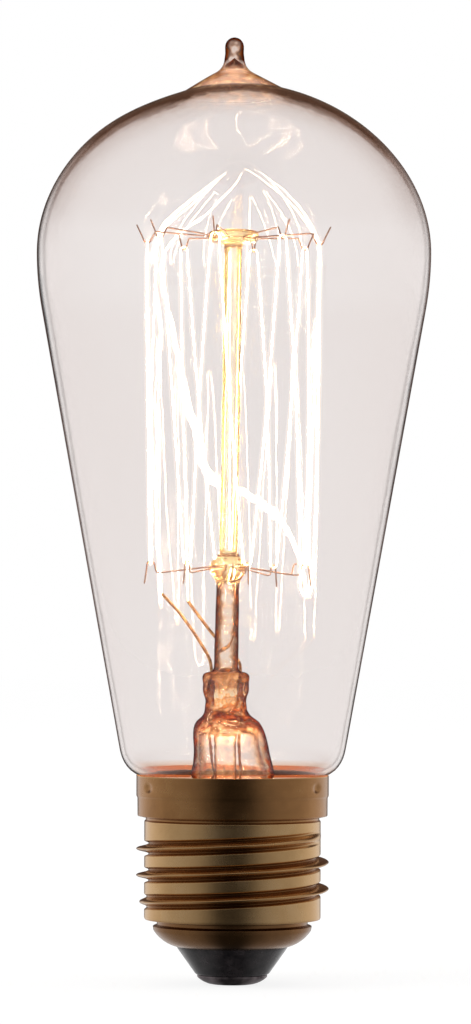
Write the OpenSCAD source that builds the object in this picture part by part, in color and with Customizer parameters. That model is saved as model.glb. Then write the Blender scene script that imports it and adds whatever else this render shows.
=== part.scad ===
// A filament lamp with a cage filament: a pear-shaped glass envelope with a drawn tip, closed at the
// bottom by a pressed glass stem that carries a rod, two rings of wire hooks and one long filament,
// and held by cement in a brass screw cap.
// Lengths are millimetres and angles are degrees. The origin is the centre of the flat end contact,
// +Z points to the glass tip, and -Y is the front. An azimuth is counted from the front, and 90 is +X.

/* [Glass envelope] */
// Largest outer radius of the glass
bulb_r = 27.15; // [26.5:0.05:27.4]
// Height of the largest radius
bulb_z = 100.5; // [98:0.5:103]
// Height of the dome's ellipse above the largest radius
dome_h = 23.3; // [21:0.1:25]
// Half angle of the long cone
cone_angle = 10.25; // [10:0.05:10.8]
// Outer radius where the long cone starts
cone_start_r = 15.85; // [15.7:0.05:16.2]
// Height where the long cone starts
cone_start_z = 34; // [33.5:0.1:34.5]
// Thickness of the blown glass
glass_t = 0.6; // [0.4:0.05:0.9]
// Outer radius of the neck inside the cap
neck_r = 12.1; // [11.9:0.05:12.15]

/* [Drawn tip] */
// Radius at which the tip is fused to the dome
tip_foot_r = 7; // [6:0.1:8]
// Radius of the drawn point
tip_r = 1.31; // [1.1:0.01:1.5]
// Height of the very end of the tip
tip_z = 130.2; // [129:0.1:132]

/* [Stem] */
// Height of the top of the flattened press
press_z = 42.7; // [42:0.1:44]
// Distance from the lamp's axis to the middle of the press
press_offset = -0.95; // [-1.1:0.05:-0.8]
// Lean of the rod and everything on it
rod_lean = 0.9; // [0:0.1:1.2]
// Width of the press at its widest
press_w = 6.65; // [6.2:0.05:7]
// Thickness of the press
press_t = 2.8; // [2.4:0.1:3.2]
// Radius of the lower, thick rod
stem_rod_r = 1.65; // [1.5:0.05:1.8]
// Radius of the upper, thin rod
arbor_rod_r = 1.25; // [1.1:0.05:1.4]
// Radius of the bead that holds the lower hooks
bead_r = 2.65; // [2.4:0.05:2.9]
// Height of the middle of the bead above the press
bead_up = 14.4; // [14:0.1:15]
// Radius of the button that holds the upper hooks
button_r = 3.45; // [3.2:0.05:3.7]
// Thickness of the button
button_t = 1.8; // [1.6:0.1:2.2]
// Height of the middle of the button above the press
button_up = 59.9; // [58:0.1:61]
// Thickness of the flared tube's wall
flare_t = 0.8; // [0.7:0.05:0.9]
// Outer radius of the exhaust tube
exhaust_r = 1.45; // [1.3:0.05:1.5]

/* [Hooks] */
// Radius of the hook wire
hook_wire_r = 0.11; // [0.1:0.005:0.15]
// Azimuths of the upper hooks, in the order in which the filament meets them
upper_az = [270, 302.5, 348, 394, 443, 483, 526, 575.5];
// Azimuths of the lower hooks, in the same order
lower_az = [286, 330, 373.7, 418.5, 463, 504.5, 547];
// Distance from the rod's axis at which the filament lies in an upper hook
upper_reach = 11.93; // [11.85:0.01:12]
// Distance from the rod's axis at which the filament hangs under a lower hook
lower_reach = 11; // [10.95:0.01:11.05]

/* [Filament] */
// Outer radius of the finely coiled filament thread
thread_r = 0.25; // [0.2:0.01:0.35]
// Radius of the thread's centreline where it turns over a hook
turn_r = 0.56; // [0.56:0.01:0.6]
// Lower hook that the filament has slipped off, counted from 0
slipped_hook = 3; // [0:1:6]
// Radius of the slipped loop's centreline
slipped_turn_r = 1.6; // [1.2:0.1:1.8]
// Distance from the rod's axis to the slipped loop
slipped_reach = 12.5; // [12.4:0.1:13]
// Azimuth, radius and height above the press of the filament's two ends
filament_ends = [[231, 12, 10.7], [568, 12, 9.7]];

/* [Wires] */
// Radius of the inner lead wires
inner_lead_r = 0.3; // [0.25:0.01:0.3]
// Radius of the seal wires inside the press
seal_wire_r = 0.22; // [0.18:0.01:0.24]
// Radius of the outer lead wires
outer_lead_r = 0.2; // [0.15:0.01:0.2]
// Distance from the middle of the press to each lead wire
lead_gap = 1.95; // [1.9:0.05:2]

/* [Screw cap] */
// Outer radius of the cap's skirt at the rim
skirt_r = 13.2; // [13.1:0.05:13.3]
// Height of the rim
rim_z = 28.5; // [28.4:0.05:28.6]
// Thickness of the brass
brass_t = 0.35; // [0.25:0.01:0.35]
// Radius of the thread's crest
crest_r = 13.2; // [13.05:0.01:13.22]
// Radius of the flat land between the crests
land_r = 12.1; // [12:0.01:12.12]
// Radius of the narrow groove on each side of a crest
groove_r = 11.65; // [11.6:0.01:11.8]
// Rise of the thread in one turn
pitch = 3.629; // [3.6:0.001:3.65]

/* [End contact] */
// Radius of the end contact's rim
contact_r = 4.8; // [4.5:0.05:4.9]
// Thickness of the contact's sheet
contact_t = 0.3; // [0.25:0.01:0.35]
// Radius of the hole for the centre lead
lead_hole_r = 0.8; // [0.6:0.05:1]

/* [Hidden] */
$fn = 64;
upper_count = len(upper_az);
lower_count = len(lower_az);
upper_hooks = [for (i = [1:upper_count]) str("upper_hook_", i)];
lower_hooks = [for (i = [1:lower_count]) str("lower_hook_", i)];

// Colours, as the lamp shows them
glass_tint = [0.86, 0.82, 0.8, 0.35];
stem_tint = [0.9, 0.62, 0.4, 0.6];
glow = [1, 0.93, 0.75];
lead_brown = [0.75, 0.45, 0.25];
hook_grey = [0.5, 0.42, 0.4];
copper = [0.72, 0.38, 0.22];
old_brass = [0.55, 0.4, 0.25];
black_glass = [0.05, 0.045, 0.05];
tinned = [0.3, 0.26, 0.28];
solder_grey = [0.6, 0.6, 0.62];
cement_buff = [0.72, 0.66, 0.55];

// Heights in the cap, from the bottom up
thread_bottom_z = 9;
thread_top_z = 22.1;
groove_foot_r = 11;
lip_r = 7.7;
lip_z = 5.15;
insulator_foot_r = 5.08;
insulator_foot_z = 1.45;
insulator_top_z = 8.4;
contact_rim_z = 1.3;
contact_flat_r = 2.6;
solder_top_z = 0.8;
cement_top_z = 27.4;

// The neck is cut square here, and the flared tube is fused to its inside
neck_z = 24;
flare_top_r = 4.74;
flare_top_z = 34.3;
press_h = 5.7;
exhaust_x = press_offset;
exhaust_top_z = 35.2;
exhaust_end_z = 16;
exhaust_bore_r = 0.85;
seal_top = -1.2;
seal_bottom = -6.2;

// Dents that key the skirt into the cement
dent_azimuths = [60, 180 + 25, 300];
dent_z = 27;
dent_ball_r = 1.2;
dent_depth = 0.25;
side_lead_az = 180;
side_lead_r = 12.42;
notch_w = 0.9;
notch_z = 27.4;

// Points on an arc from p to q that turns by the angle turn, to the left where turn is positive
function arc(p, q, turn, steps) =
    let (d = q - p, heading = atan2(d[1], d[0]) - turn / 2)
    [for (i = [0:steps])
        let (s = turn * i / steps / 2)
        p + norm(d) * sin(s) / sin(turn / 2) * [cos(heading + s), sin(heading + s)]];

// Unit vector to the left of the way from p to q
function left_of(p, q) = [p[1] - q[1], q[0] - p[0]] / norm(q - p);

// A line moved sideways to its left by t, with its corners kept sharp
function inset(line, t) =
    let (last = len(line) - 1)
    [for (i = [0:last])
        let (
            before = left_of(line[max(i - 1, 0)], line[max(i, 1)]),
            after = left_of(line[min(i, last - 1)], line[min(i + 1, last)])
        )
        line[i] + t * (before + after) / (1 + before * after)];

function backwards(list) = [for (i = [len(list) - 1:-1:0]) list[i]];

// Closed outline of a sheet of thickness t that lies to the left of a line
function sheet(line, t) = concat(line, backwards(inset(line, t)));

// A point at a radius, azimuth and height
function at(r, az, z) = [r * sin(az), -r * cos(az), z];

// Direction of growing azimuth
function round_at(az) = [cos(az), sin(az), 0];

// A point given from the top of the press along the leaning rod, in the lamp's own frame
function from_press(p) = [
    press_offset + p[0] * cos(rod_lean) + p[2] * sin(rod_lean),
    p[1],
    press_z + p[2] * cos(rod_lean) - p[0] * sin(rod_lean)
];

// Points on a smooth curve through every point of a list
function smooth(p, steps) =
    let (last = len(p) - 1)
    [for (i = [0:last - 1])
        let (a = p[max(i - 1, 0)], b = p[i], c = p[i + 1], d = p[min(i + 2, last)])
        for (k = [0:(i == last - 1 ? steps : steps - 1)])
            let (t = k / steps)
            (2 * b + (c - a) * t + (2 * a - 5 * b + 4 * c - d) * t ^ 2 + (3 * b - a - 3 * c + d) * t ^ 3) / 2];

// Directions of a route at each of its points
function headings(route) =
    let (last = len(route) - 1)
    [for (i = [0:last])
        let (d = route[min(i + 1, last)] - route[max(i - 1, 0)])
        d / norm(d)];

// The part of v that is square to the unit vector h, as a unit vector
function square_to(v, h) = let (w = v - (v * h) * h) w / norm(w);

// Side vectors of a route, carried along it without twisting
function sides_of(h) = [
    for (i = 0, s = square_to([0.31, 0.87, 0.38], h[0]);
        i < len(h);
        i = i + 1, s = i < len(h) ? square_to(s, h[i]) : s)
        s
];

// A wire of one radius along a route
module wire(route, r, corners) {
    h = headings(route);
    s = sides_of(h);
    rings = len(route);
    points = [for (i = [0:rings - 1], k = [0:corners - 1])
        route[i] + r * (cos(360 * k / corners) * s[i] + sin(360 * k / corners) * cross(h[i], s[i]))];
    walls = [for (i = [0:rings - 2], k = [0:corners - 1])
        let (
            a = i * corners + k,
            b = i * corners + (k + 1) % corners
        )
        each [[a, a + corners, b + corners], [a, b + corners, b]]];
    first = [for (k = [1:corners - 2]) [0, k, k + 1]];
    top = (rings - 1) * corners;
    last = [for (k = [1:corners - 2]) [top, top + k + 1, top + k]];
    polyhedron(points, concat(walls, first, last));
}

// Places its children on the leaning rod, from the top of the press
module on_press() {
    translate([press_offset, 0, press_z])
        rotate([0, rod_lean, 0])
            children();
}

// Outer line of the envelope, from the neck up to the foot of the tip
shoulder = [13.4, rim_z + 0.25];
shoulder_heading = atan2(cone_start_z - shoulder[1], cone_start_r - shoulder[0]);
bulge_r = (cone_start_r + tan(cone_angle) * (bulb_z - cone_start_z) - bulb_r)
    * cos(cone_angle) / (1 - cos(cone_angle));
cone_end = [bulb_r - bulge_r * (1 - cos(cone_angle)), bulb_z - bulge_r * sin(cone_angle)];
foot_angle = acos(tip_foot_r / bulb_r);
dome_steps = 16;
envelope_line = concat(
    [[neck_r, neck_z], [neck_r, rim_z - 0.5]],
    arc(shoulder, [cone_start_r, cone_start_z], 2 * (90 - cone_angle - shoulder_heading), 5),
    arc(cone_end, [bulb_r, bulb_z], cone_angle, 3),
    [for (i = [1:dome_steps])
        let (a = foot_angle * i / dome_steps)
        [bulb_r * cos(a), bulb_z + dome_h * sin(a)]]
);
envelope_inside = inset(envelope_line, glass_t);

module glass_envelope() {
    color(glass_tint)
        rotate_extrude()
            polygon(sheet(envelope_line, glass_t));
}

// The tip: a short cone drawn up into a solid point, with the end of its hollow inside
module crown_tip() {
    foot = envelope_line[len(envelope_line) - 1];
    foot_inside = envelope_inside[len(envelope_inside) - 1];
    cone_top = [2.6, foot[1] + 2.34];
    point_start = [tip_r + 0.06, foot[1] + 4.4];
    outline = concat(
        [foot_inside, foot],
        arc(cone_top, point_start, -62, 5),
        arc([tip_r, tip_z - tip_r], [0, tip_z], 90, 6),
        [[0, foot[1] + 2.6], [2.1, foot_inside[1] + 1.9]]
    );
    color(glass_tint)
        rotate_extrude()
            polygon(outline);
}

// Outer line of the flared tube, from its rim on the neck up to the press
flare_rim_r = neck_r - glass_t;
flare_rim_z = neck_z + flare_t;
flare_line = concat(
    [[flare_rim_r, flare_rim_z]],
    arc([10.1, flare_rim_z], [5.4, flare_rim_z + 4.4], -86, 8),
    [[5.15, 32.2], [flare_top_r, flare_top_z]]
);

module stem_flare() {
    flare_low = [for (p = sheet(flare_line, flare_t)) [p[0], min(p[1], flare_top_z)]];
    color(stem_tint)
        rotate_extrude()
            polygon(flare_low);
}

// Front outline of the flattened press, from its foot up and over
module press_front() {
    half = press_w / 2;
    corner = 1.6;
    right = concat(
        [[half - 0.45, -press_h], [half, -corner - 0.5]],
        arc([half, -corner], [half - corner, 0], 90, 6)
    );
    polygon(concat(right, [for (p = backwards(right)) [-p[0], p[1]]]));
}

module press_slab(low, high) {
    intersection() {
        rotate([90, 0, 0])
            translate([0, 0, -press_t / 2])
                linear_extrude(press_t)
                    press_front();
        translate([-press_w, -press_t, low])
            cube([2 * press_w, 2 * press_t, high - low]);
    }
}

// The holes that the lead wires fill in the press
module lead_bores() {
    for (side = [-1, 1])
        translate([side * lead_gap, 0, 0]) {
            translate([0, 0, seal_top])
                cylinder(r = inner_lead_r, h = 2);
            translate([0, 0, seal_bottom])
                cylinder(r = seal_wire_r, h = seal_top - seal_bottom);
            translate([0, 0, -press_h - 4])
                cylinder(r = outer_lead_r, h = press_h + 4 + seal_bottom);
        }
}

// The press, and the pinched top of the tube that it was flattened from
module stem_press() {
    waist = 0.4;
    color(stem_tint)
        difference() {
            union() {
                on_press()
                    press_slab(-press_h, 0);
                hull() {
                    translate([0, 0, flare_top_z])
                        cylinder(r = flare_top_r, h = 0.01, $fn = 32);
                    translate([press_offset * 0.6, 0, flare_top_z + 1.6])
                        cylinder(r = 3.9, h = 0.01, $fn = 32);
                    on_press()
                        press_slab(-press_h, -press_h + waist);
                }
            }
            on_press()
                lead_bores();
            translate([exhaust_x, 0, flare_top_z - 1])
                cylinder(r = exhaust_r, h = exhaust_top_z - flare_top_z + 1);
            exhaust_port();
        }
}

// The opening through which the air was drawn, up from the tube and out at the back of the press
module exhaust_port() {
    translate([exhaust_x, 0, exhaust_top_z - 0.1])
        cylinder(r = 0.6, h = 0.9);
    translate([exhaust_x, 0, exhaust_top_z + 0.6])
        rotate([-90, 0, 0])
            cylinder(r = 0.5, h = 6);
}

// The exhaust tube, melted shut at its lower end inside the cap
module exhaust_tube() {
    outline = concat(
        arc([0, exhaust_end_z], [exhaust_r, exhaust_end_z + exhaust_r], 90, 6),
        [[exhaust_r, exhaust_top_z], [exhaust_bore_r, exhaust_top_z]],
        [[exhaust_bore_r, exhaust_end_z + 2.4], [0, exhaust_end_z + 1.6]]
    );
    color(stem_tint)
        translate([exhaust_x, 0, 0])
            rotate_extrude()
                polygon(outline);
}

bead_foot = 2.5;
bead_head = 1.65;
bead_low = bead_up - bead_foot;
bead_high = bead_up + bead_head;
button_low = button_up - button_t / 2;

module stem_rod() {
    color(stem_tint)
        on_press()
            cylinder(r = stem_rod_r, h = bead_low);
}

module arbor_rod() {
    color(stem_tint)
        on_press()
            translate([0, 0, bead_high])
                cylinder(r = arbor_rod_r, h = button_low - bead_high);
}

// The part of a hook that the glass grips
hook_grip = 1.4;

module hook_bore(r, az, z) {
    translate(at(r - hook_grip, az, z))
        rotate([90, 0, az])
            cylinder(r = hook_wire_r, h = hook_grip + 1);
}

module lower_bead() {
    side = concat(
        [[0, bead_low], [stem_rod_r, bead_low], [stem_rod_r + 0.15, bead_low + 0.7]],
        arc([bead_r - 0.1, bead_up - 0.7], [bead_r - 0.1, bead_up + 0.4], 30, 4),
        [[1.75, bead_high - 0.4], [arbor_rod_r + 0.3, bead_high], [0, bead_high]]
    );
    color(stem_tint)
        on_press()
            difference() {
                rotate_extrude()
                    polygon(side);
                for (az = lower_az)
                    hook_bore(bead_r, az, bead_up);
            }
}

module top_button() {
    edge = 0.35;
    low = [button_r - edge, button_low];
    high = [button_r - edge, button_low + button_t];
    side = concat(
        [[0, button_low]],
        arc(low, [button_r, button_low + edge], 90, 4),
        arc([button_r, button_low + button_t - edge], high, 90, 4),
        [[0, button_low + button_t]]
    );
    color(stem_tint)
        on_press()
            difference() {
                rotate_extrude()
                    polygon(side);
                for (az = upper_az)
                    hook_bore(button_r, az, button_up);
            }
}

// An upper hook seen from the side: distance from the rod and height above the button's middle
upper_hook_side = [
    [button_r - hook_grip, 0],
    [button_r, 0],
    [9.4, 0.45],
    [10.8, 0.55],
    [11.25, -0.3],
    [11.55, -0.95],
    [12.3, -0.95],
    [12.75, 0.1],
    [13.45, 1.5]
];

// A lower hook seen from the side: distance from the rod and height above the bead's middle
lower_hook_side = [
    [bead_r - hook_grip, 0],
    [bead_r, 0],
    [9.6, -0.95],
    [10.2, -0.85],
    [10.45, 0.2],
    [10.62, 0.5],
    [11.38, 0.5],
    [11.5, 0.2],
    [11.6, -0.8],
    [11.85, -2.5]
];
upper_rest = -0.95;
lower_rest = 0.5;

module hook(side, az, z) {
    color(hook_grey)
        on_press()
            wire([for (p = side) at(p[0], az, z + p[1])], hook_wire_r, 6);
}

// Half a turn of the thread over a hook, where way is 1, or under it, where way is -1
function turn_at(r, az, z, radius, way) =
    [for (k = [0:4])
        at(r, az, z) + radius * (-cos(45 * k) * round_at(az) + way * sin(45 * k) * [0, 0, 1])];

// Centre heights of the turns, so that the thread lies on the wire
turn_drop = hook_wire_r + thread_r - turn_r;
upper_turn_z = button_up + upper_rest + turn_drop;
lower_turn_z = bead_up + lower_rest - turn_drop;
slipped_turn_z = bead_up - 2.3;

function upper_turn(i) = turn_at(upper_reach, upper_az[i], upper_turn_z, turn_r, 1);

function lower_turn(i) =
    i == slipped_hook
    ? turn_at(slipped_reach, lower_az[i], slipped_turn_z, slipped_turn_r, -1)
    : turn_at(lower_reach, lower_az[i], lower_turn_z, turn_r, -1);

// The straight run number i from p to q, with a little slack that bows it outwards and sideways
function run(p, q, i, count) =
    let (
        middle = (p + q) / 2,
        out = [middle[0], middle[1], 0] / norm([middle[0], middle[1]]),
        slack = (0.3 + 0.25 * sin(137 * i)) * out + 0.3 * cos(97 * i) * cross([0, 0, 1], out)
    )
    [for (k = [1:count])
        let (t = k / (count + 1))
        p + t * (q - p) + sin(180 * t) * slack];

// The whole filament, up and down between the hooks, with count points on each run
function filament_route(count) =
    let (
        ends = [for (e = filament_ends) at(e[1], e[0], e[2])],
        turns = [for (k = [0:upper_count + lower_count - 1])
            k % 2 == 0 ? upper_turn(k / 2) : lower_turn((k - 1) / 2)],
        stops = concat([[ends[0]]], turns, [[ends[1]]])
    )
    [for (k = [0:len(stops) - 1])
        each k == 0
            ? stops[0]
            : concat(run(stops[k - 1][len(stops[k - 1]) - 1], stops[k][0], k, count), stops[k])];

// Least distance between the surfaces of a thread's runs, with near neighbours along it left out
function least_gap(route, r, neighbours) =
    min([for (i = [0:len(route) - 1 - neighbours], j = [i + neighbours:1:len(route) - 1])
        norm(route[i] - route[j])]) - 2 * r;

module filament() {
    echo(least_gap_of_filament = least_gap(filament_route(22), thread_r, 4));
    color(glow)
        on_press()
            wire(filament_route(4), thread_r, 6);
}

// Routes of the inner leads from the press to the filament's ends
inner_routes = [
    [
        [-lead_gap, 0, 0],
        [-2.15, 0.3, 1.5],
        [-2.8, 1.1, 2.7],
        [-4.4, 3.1, 5.1],
        [-6.6, 5.3, 8],
        at(filament_ends[0][1], filament_ends[0][0], filament_ends[0][2])
    ],
    [
        [lead_gap, 0, 0],
        [2, 0.8, 1],
        [1.2, 2.6, 2.3],
        [-0.2, 4.3, 3.5],
        [-1.6, 5.8, 4.7],
        [-3.5, 8.1, 7],
        at(filament_ends[1][1], filament_ends[1][0], filament_ends[1][2])
    ]
];

module inner_lead(i) {
    route = inner_routes[i];
    color(lead_brown)
        on_press()
            wire(concat([[route[0][0], 0, seal_top]], smooth(route, 3)), inner_lead_r, 8);
}

module seal_wire(side) {
    color(copper)
        on_press()
            translate([side * lead_gap, 0, seal_bottom])
                cylinder(r = seal_wire_r, h = seal_top - seal_bottom);
}

// A lead below the press: straight through the glass, then free to its joint in the cap
module outer_lead(side, free_route) {
    grip = [
        from_press([side * lead_gap, 0, seal_bottom]),
        from_press([side * lead_gap, 0, -press_h - 2.9])
    ];
    color(copper)
        wire(concat([grip[0]], smooth(concat([grip[1]], free_route), 3)), outer_lead_r, 8);
}

// Down the tube, out under the neck's rim, and up between the neck and the skirt
side_route = [
    [-2.85, 0, 32],
    [-2.75, 0.3, 29],
    [-2.2, 1.6, 26.2],
    [-1, 4.6, 24],
    at(8.6, side_lead_az, 23.45),
    at(11.4, side_lead_az, 23.45),
    at(12.08, side_lead_az, 23.5),
    at(12.34, side_lead_az, 23.75),
    at(side_lead_r, side_lead_az, 24.2),
    at(side_lead_r, side_lead_az, 25.8),
    at(side_lead_r, side_lead_az, notch_z)
];

// Down beside the exhaust tube and into the middle of the end contact
centre_route = [
    [1, 0, 31.5],
    [1.15, 0, 27],
    [1.15, 0, 20],
    [0.95, 0, 14.5],
    [0.35, 0, 10.5],
    [0, 0, 8],
    [0, 0, 4],
    [0, 0, solder_top_z]
];

// Dents pressed into the skirt: the ball that makes them, and the bump that each leaves inside
module dent_balls(extra) {
    for (az = dent_azimuths)
        translate(at(skirt_r + dent_ball_r - dent_depth, az, dent_z))
            sphere(r = dent_ball_r + extra);
}

module dent_bumps() {
    intersection() {
        dent_balls(brass_t);
        translate([0, 0, dent_z - 3])
            cylinder(r = skirt_r - brass_t / 2, h = 6);
    }
}

skirt_line = [
    [land_r, thread_top_z],
    [land_r, thread_top_z + 0.2],
    [11.9, thread_top_z + 0.35],
    [11.9, thread_top_z + 0.65],
    [skirt_r - 0.15, thread_top_z + 0.9],
    [skirt_r - 0.15, rim_z - 3],
    [skirt_r, rim_z - 2.75],
    [skirt_r, rim_z]
];

bowl_line = concat(
    arc([lip_r, lip_z], [groove_foot_r, 7.6], 43, 6),
    [[groove_foot_r, 8.4], [land_r, 8.65], [land_r, thread_bottom_z]]
);

// One turn of the thread seen in section: height from the crest, and radius, outside and inside
thread_outside = [
    [-1.25, land_r],
    [-1.02, groove_r],
    [-0.68, groove_r],
    [-0.28, crest_r - 0.25],
    [0, crest_r],
    [0.28, crest_r - 0.25],
    [0.68, groove_r],
    [1.02, groove_r],
    [1.25, land_r]
];
thread_inside = [
    [-1.45, land_r - brass_t],
    [-1.15, groove_r - brass_t],
    [-0.42, groove_r - brass_t],
    [0, crest_r - brass_t - 0.2],
    [0.42, groove_r - brass_t],
    [1.15, groove_r - brass_t],
    [1.45, land_r - brass_t]
];
thread_steps = 30;
thread_start_z = thread_bottom_z - 3.2;
thread_columns = ceil((thread_top_z + 3.2 - thread_start_z) / pitch) * thread_steps;

// Share of the full thread height, which runs out before the wall's ends
function thread_share(crest_z) =
    let (
        up = (crest_z - thread_bottom_z - 1.8) / 0.8,
        down = (thread_top_z - 1.8 - crest_z) / 0.8
    )
    max(0, min(1, min(up, down)));

function thread_point(p, flat_r, j) =
    let (
        crest_z = thread_start_z + pitch * j / thread_steps,
        r = flat_r + (p[1] - flat_r) * thread_share(crest_z),
        angle = 360 * j / thread_steps
    )
    [r * cos(angle), r * sin(angle), crest_z + p[0]];

// The threaded wall as one sheet wound in a right-hand helix, longer than the cap needs at both ends
module thread_wall() {
    outside = [for (j = [0:thread_columns], p = thread_outside) thread_point(p, land_r, j)];
    inside = [for (j = [0:thread_columns], p = thread_inside) thread_point(p, land_r - brass_t, j)];
    n = len(thread_outside);
    m = len(thread_inside);
    turn = thread_steps;
    end = thread_columns;
    base = len(outside);
    // Number of the point in row i and column j, where the row past the last is the next turn's first
    outer = function(i, j) i < n ? j * n + i : (j + turn) * n;
    inner = function(i, j) base + (i < m ? j * m + i : (j + turn) * m);
    outer_wall = [for (j = [0:end - 1], i = [0:n - 1])
        if (i < n - 1 || j < end - turn)
            each [[outer(i, j), outer(i + 1, j), outer(i + 1, j + 1)],
                [outer(i, j), outer(i + 1, j + 1), outer(i, j + 1)]]];
    inner_wall = [for (j = [0:end - 1], i = [0:m - 1])
        if (i < m - 1 || j < end - turn)
            each [[inner(i, j), inner(i + 1, j + 1), inner(i + 1, j)],
                [inner(i, j), inner(i, j + 1), inner(i + 1, j + 1)]]];
    floor_strip = [for (j = [0:turn - 1])
        each [[outer(0, j), outer(0, j + 1), inner(0, j + 1)],
            [outer(0, j), inner(0, j + 1), inner(0, j)]]];
    roof_strip = [for (j = [end - turn:end - 1])
        each [[outer(n - 1, j), inner(m - 1, j + 1), outer(n - 1, j + 1)],
            [outer(n - 1, j), inner(m - 1, j), inner(m - 1, j + 1)]]];
    start_face = concat(
        [for (i = [0:m]) inner(i, 0)],
        [for (i = [n:-1:0]) outer(i, 0)]
    );
    end_face = concat(
        [outer(n - 1, end - turn)],
        [for (i = [0:n - 1]) outer(i, end)],
        [for (i = [m - 1:-1:0]) inner(i, end)],
        [inner(m - 1, end - turn)]
    );
    faces = concat(outer_wall, inner_wall, floor_strip, roof_strip, [start_face, end_face]);
    polyhedron(concat(outside, inside), faces);
}

// Section of the round collar that takes in one end of the threaded wall
collar_h = 0.6;
collar_out = land_r + 0.03;
collar_in = (land_r - brass_t) * cos(180 / thread_steps) - 0.03;

module collar(z) {
    translate([collar_in, z])
        square([collar_out - collar_in, collar_h]);
}

module cap_shell() {
    color(old_brass) {
        difference() {
            union() {
                rotate_extrude() {
                    polygon(sheet(skirt_line, brass_t));
                    collar(thread_top_z - collar_h / 2);
                }
                dent_bumps();
            }
            dent_balls(0);
            rotate([0, 0, side_lead_az])
                translate([-notch_w / 2, -skirt_r - 1, notch_z])
                    cube([notch_w, 2, 2]);
        }
        intersection() {
            thread_wall();
            translate([-skirt_r - 1, -skirt_r - 1, thread_bottom_z])
                cube([2 * skirt_r + 2, 2 * skirt_r + 2, thread_top_z - thread_bottom_z]);
        }
        rotate_extrude() {
            polygon(sheet(bowl_line, brass_t));
            collar(thread_bottom_z - collar_h / 2);
        }
    }
}

// Sheet of the end contact, from the hole out to the rim
contact_line = concat(
    [[lead_hole_r, 0]],
    arc([contact_flat_r, 0], [contact_r, contact_rim_z - 0.3], 40, 5),
    [[contact_r, contact_rim_z]]
);

// Black glass that fills the foot of the cap and keeps the end contact off the brass
module cap_insulator() {
    bowl_inside = inset(bowl_line, brass_t);
    under_groove = bowl_inside[6];
    outline = concat(
        inset(contact_line, contact_t),
        [[contact_r, contact_rim_z], [insulator_foot_r, insulator_foot_z], [lip_r - 0.3, lip_z - 0.4]],
        [bowl_line[0]],
        [for (i = [0:6]) bowl_inside[i]],
        [[under_groove[0], insulator_top_z], [4.5, 7.2], [lead_hole_r, 7]]
    );
    color(black_glass)
        rotate_extrude()
            polygon(outline);
}

module centre_contact() {
    color(tinned)
        rotate_extrude()
            polygon(sheet(contact_line, contact_t));
}

module centre_solder() {
    color(solder_grey)
        cylinder(r = lead_hole_r, h = solder_top_z);
}

// Cement between the neck and the skirt, set round the dents and the side lead
module cement_ring() {
    low = neck_z + 0.1;
    color(cement_buff)
        difference() {
            rotate_extrude()
                polygon([
                    [neck_r, low],
                    [skirt_r - 0.15 - brass_t, low],
                    [skirt_r - 0.15 - brass_t, rim_z - 2.95],
                    [skirt_r - brass_t, rim_z - 2.7],
                    [skirt_r - brass_t, cement_top_z],
                    [neck_r, cement_top_z]
                ]);
            dent_balls(brass_t);
            translate(at(side_lead_r, side_lead_az, low - 1))
                cylinder(r = outer_lead_r, h = 5);
        }
}

// Solder that fills the notch in the rim and joins the side lead to the skirt, wiped low enough to
// pass a lampholder's mouth
module side_solder() {
    ball_r = 0.85;
    proud = 0.2;
    color(solder_grey)
        rotate([0, 0, side_lead_az]) {
            translate([-notch_w / 2, -skirt_r, notch_z])
                cube([notch_w, skirt_r - neck_r - 0.1, 0.6]);
            difference() {
                translate([0, ball_r - proud - skirt_r, notch_z])
                    sphere(r = ball_r);
                translate([0, 0, notch_z - 2])
                    cylinder(r = skirt_r, h = 4);
            }
        }
}

glass_envelope();
crown_tip();
stem_flare();
stem_press();
exhaust_tube();
stem_rod();
lower_bead();
arbor_rod();
top_button();
for (i = [0:upper_count - 1])
    hook(upper_hook_side, upper_az[i], button_up);
for (i = [0:lower_count - 1])
    hook(lower_hook_side, lower_az[i], bead_up);
filament();
inner_lead(0);  // inner_lead_1
inner_lead(1);  // inner_lead_2
seal_wire(-1);  // seal_wire_1
seal_wire(1);  // seal_wire_2
outer_lead(-1, side_route);  // outer_lead_side
outer_lead(1, centre_route);  // outer_lead_centre
cap_shell();
cap_insulator();
centre_contact();
cement_ring();
side_solder();
centre_solder();
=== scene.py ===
# %% [markdown]
# # A lit cage-filament lamp
# The lamp is a long, tapered glass bulb with a drawn tip. Inside, a glass stem carries two rings of wire
# hooks, with one long thin filament strung up and down between them, and a brass screw cap closes the
# bottom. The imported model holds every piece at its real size, and this script gives the pieces their
# looks. Lengths are millimetres until a mesh is made, and metres after.

import bpy
import numpy as np
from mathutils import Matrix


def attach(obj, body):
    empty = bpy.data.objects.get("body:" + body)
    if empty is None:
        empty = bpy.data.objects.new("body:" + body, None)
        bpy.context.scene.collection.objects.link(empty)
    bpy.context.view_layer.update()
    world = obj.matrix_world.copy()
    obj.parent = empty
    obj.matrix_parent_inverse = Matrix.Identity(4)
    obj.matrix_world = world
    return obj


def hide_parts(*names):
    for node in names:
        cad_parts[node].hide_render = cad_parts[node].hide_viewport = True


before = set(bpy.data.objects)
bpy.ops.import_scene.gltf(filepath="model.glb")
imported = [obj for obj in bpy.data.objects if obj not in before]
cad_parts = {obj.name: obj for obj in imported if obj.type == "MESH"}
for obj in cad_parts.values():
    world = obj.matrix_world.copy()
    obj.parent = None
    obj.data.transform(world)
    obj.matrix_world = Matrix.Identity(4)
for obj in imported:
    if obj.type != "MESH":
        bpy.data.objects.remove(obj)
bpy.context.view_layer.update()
print("pieces in the packed model:", len(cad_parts))

# %% [markdown]
# ## Lines with soft corners
# Glass from a flame and sheet brass from a press have no sharp corners. An outline could be typed in with
# hundreds of points. Here a few corner points are spread out evenly and averaged with a bell curve, so
# one number sets how soft an outline is.

# %% Spread out and soften a line


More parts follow.
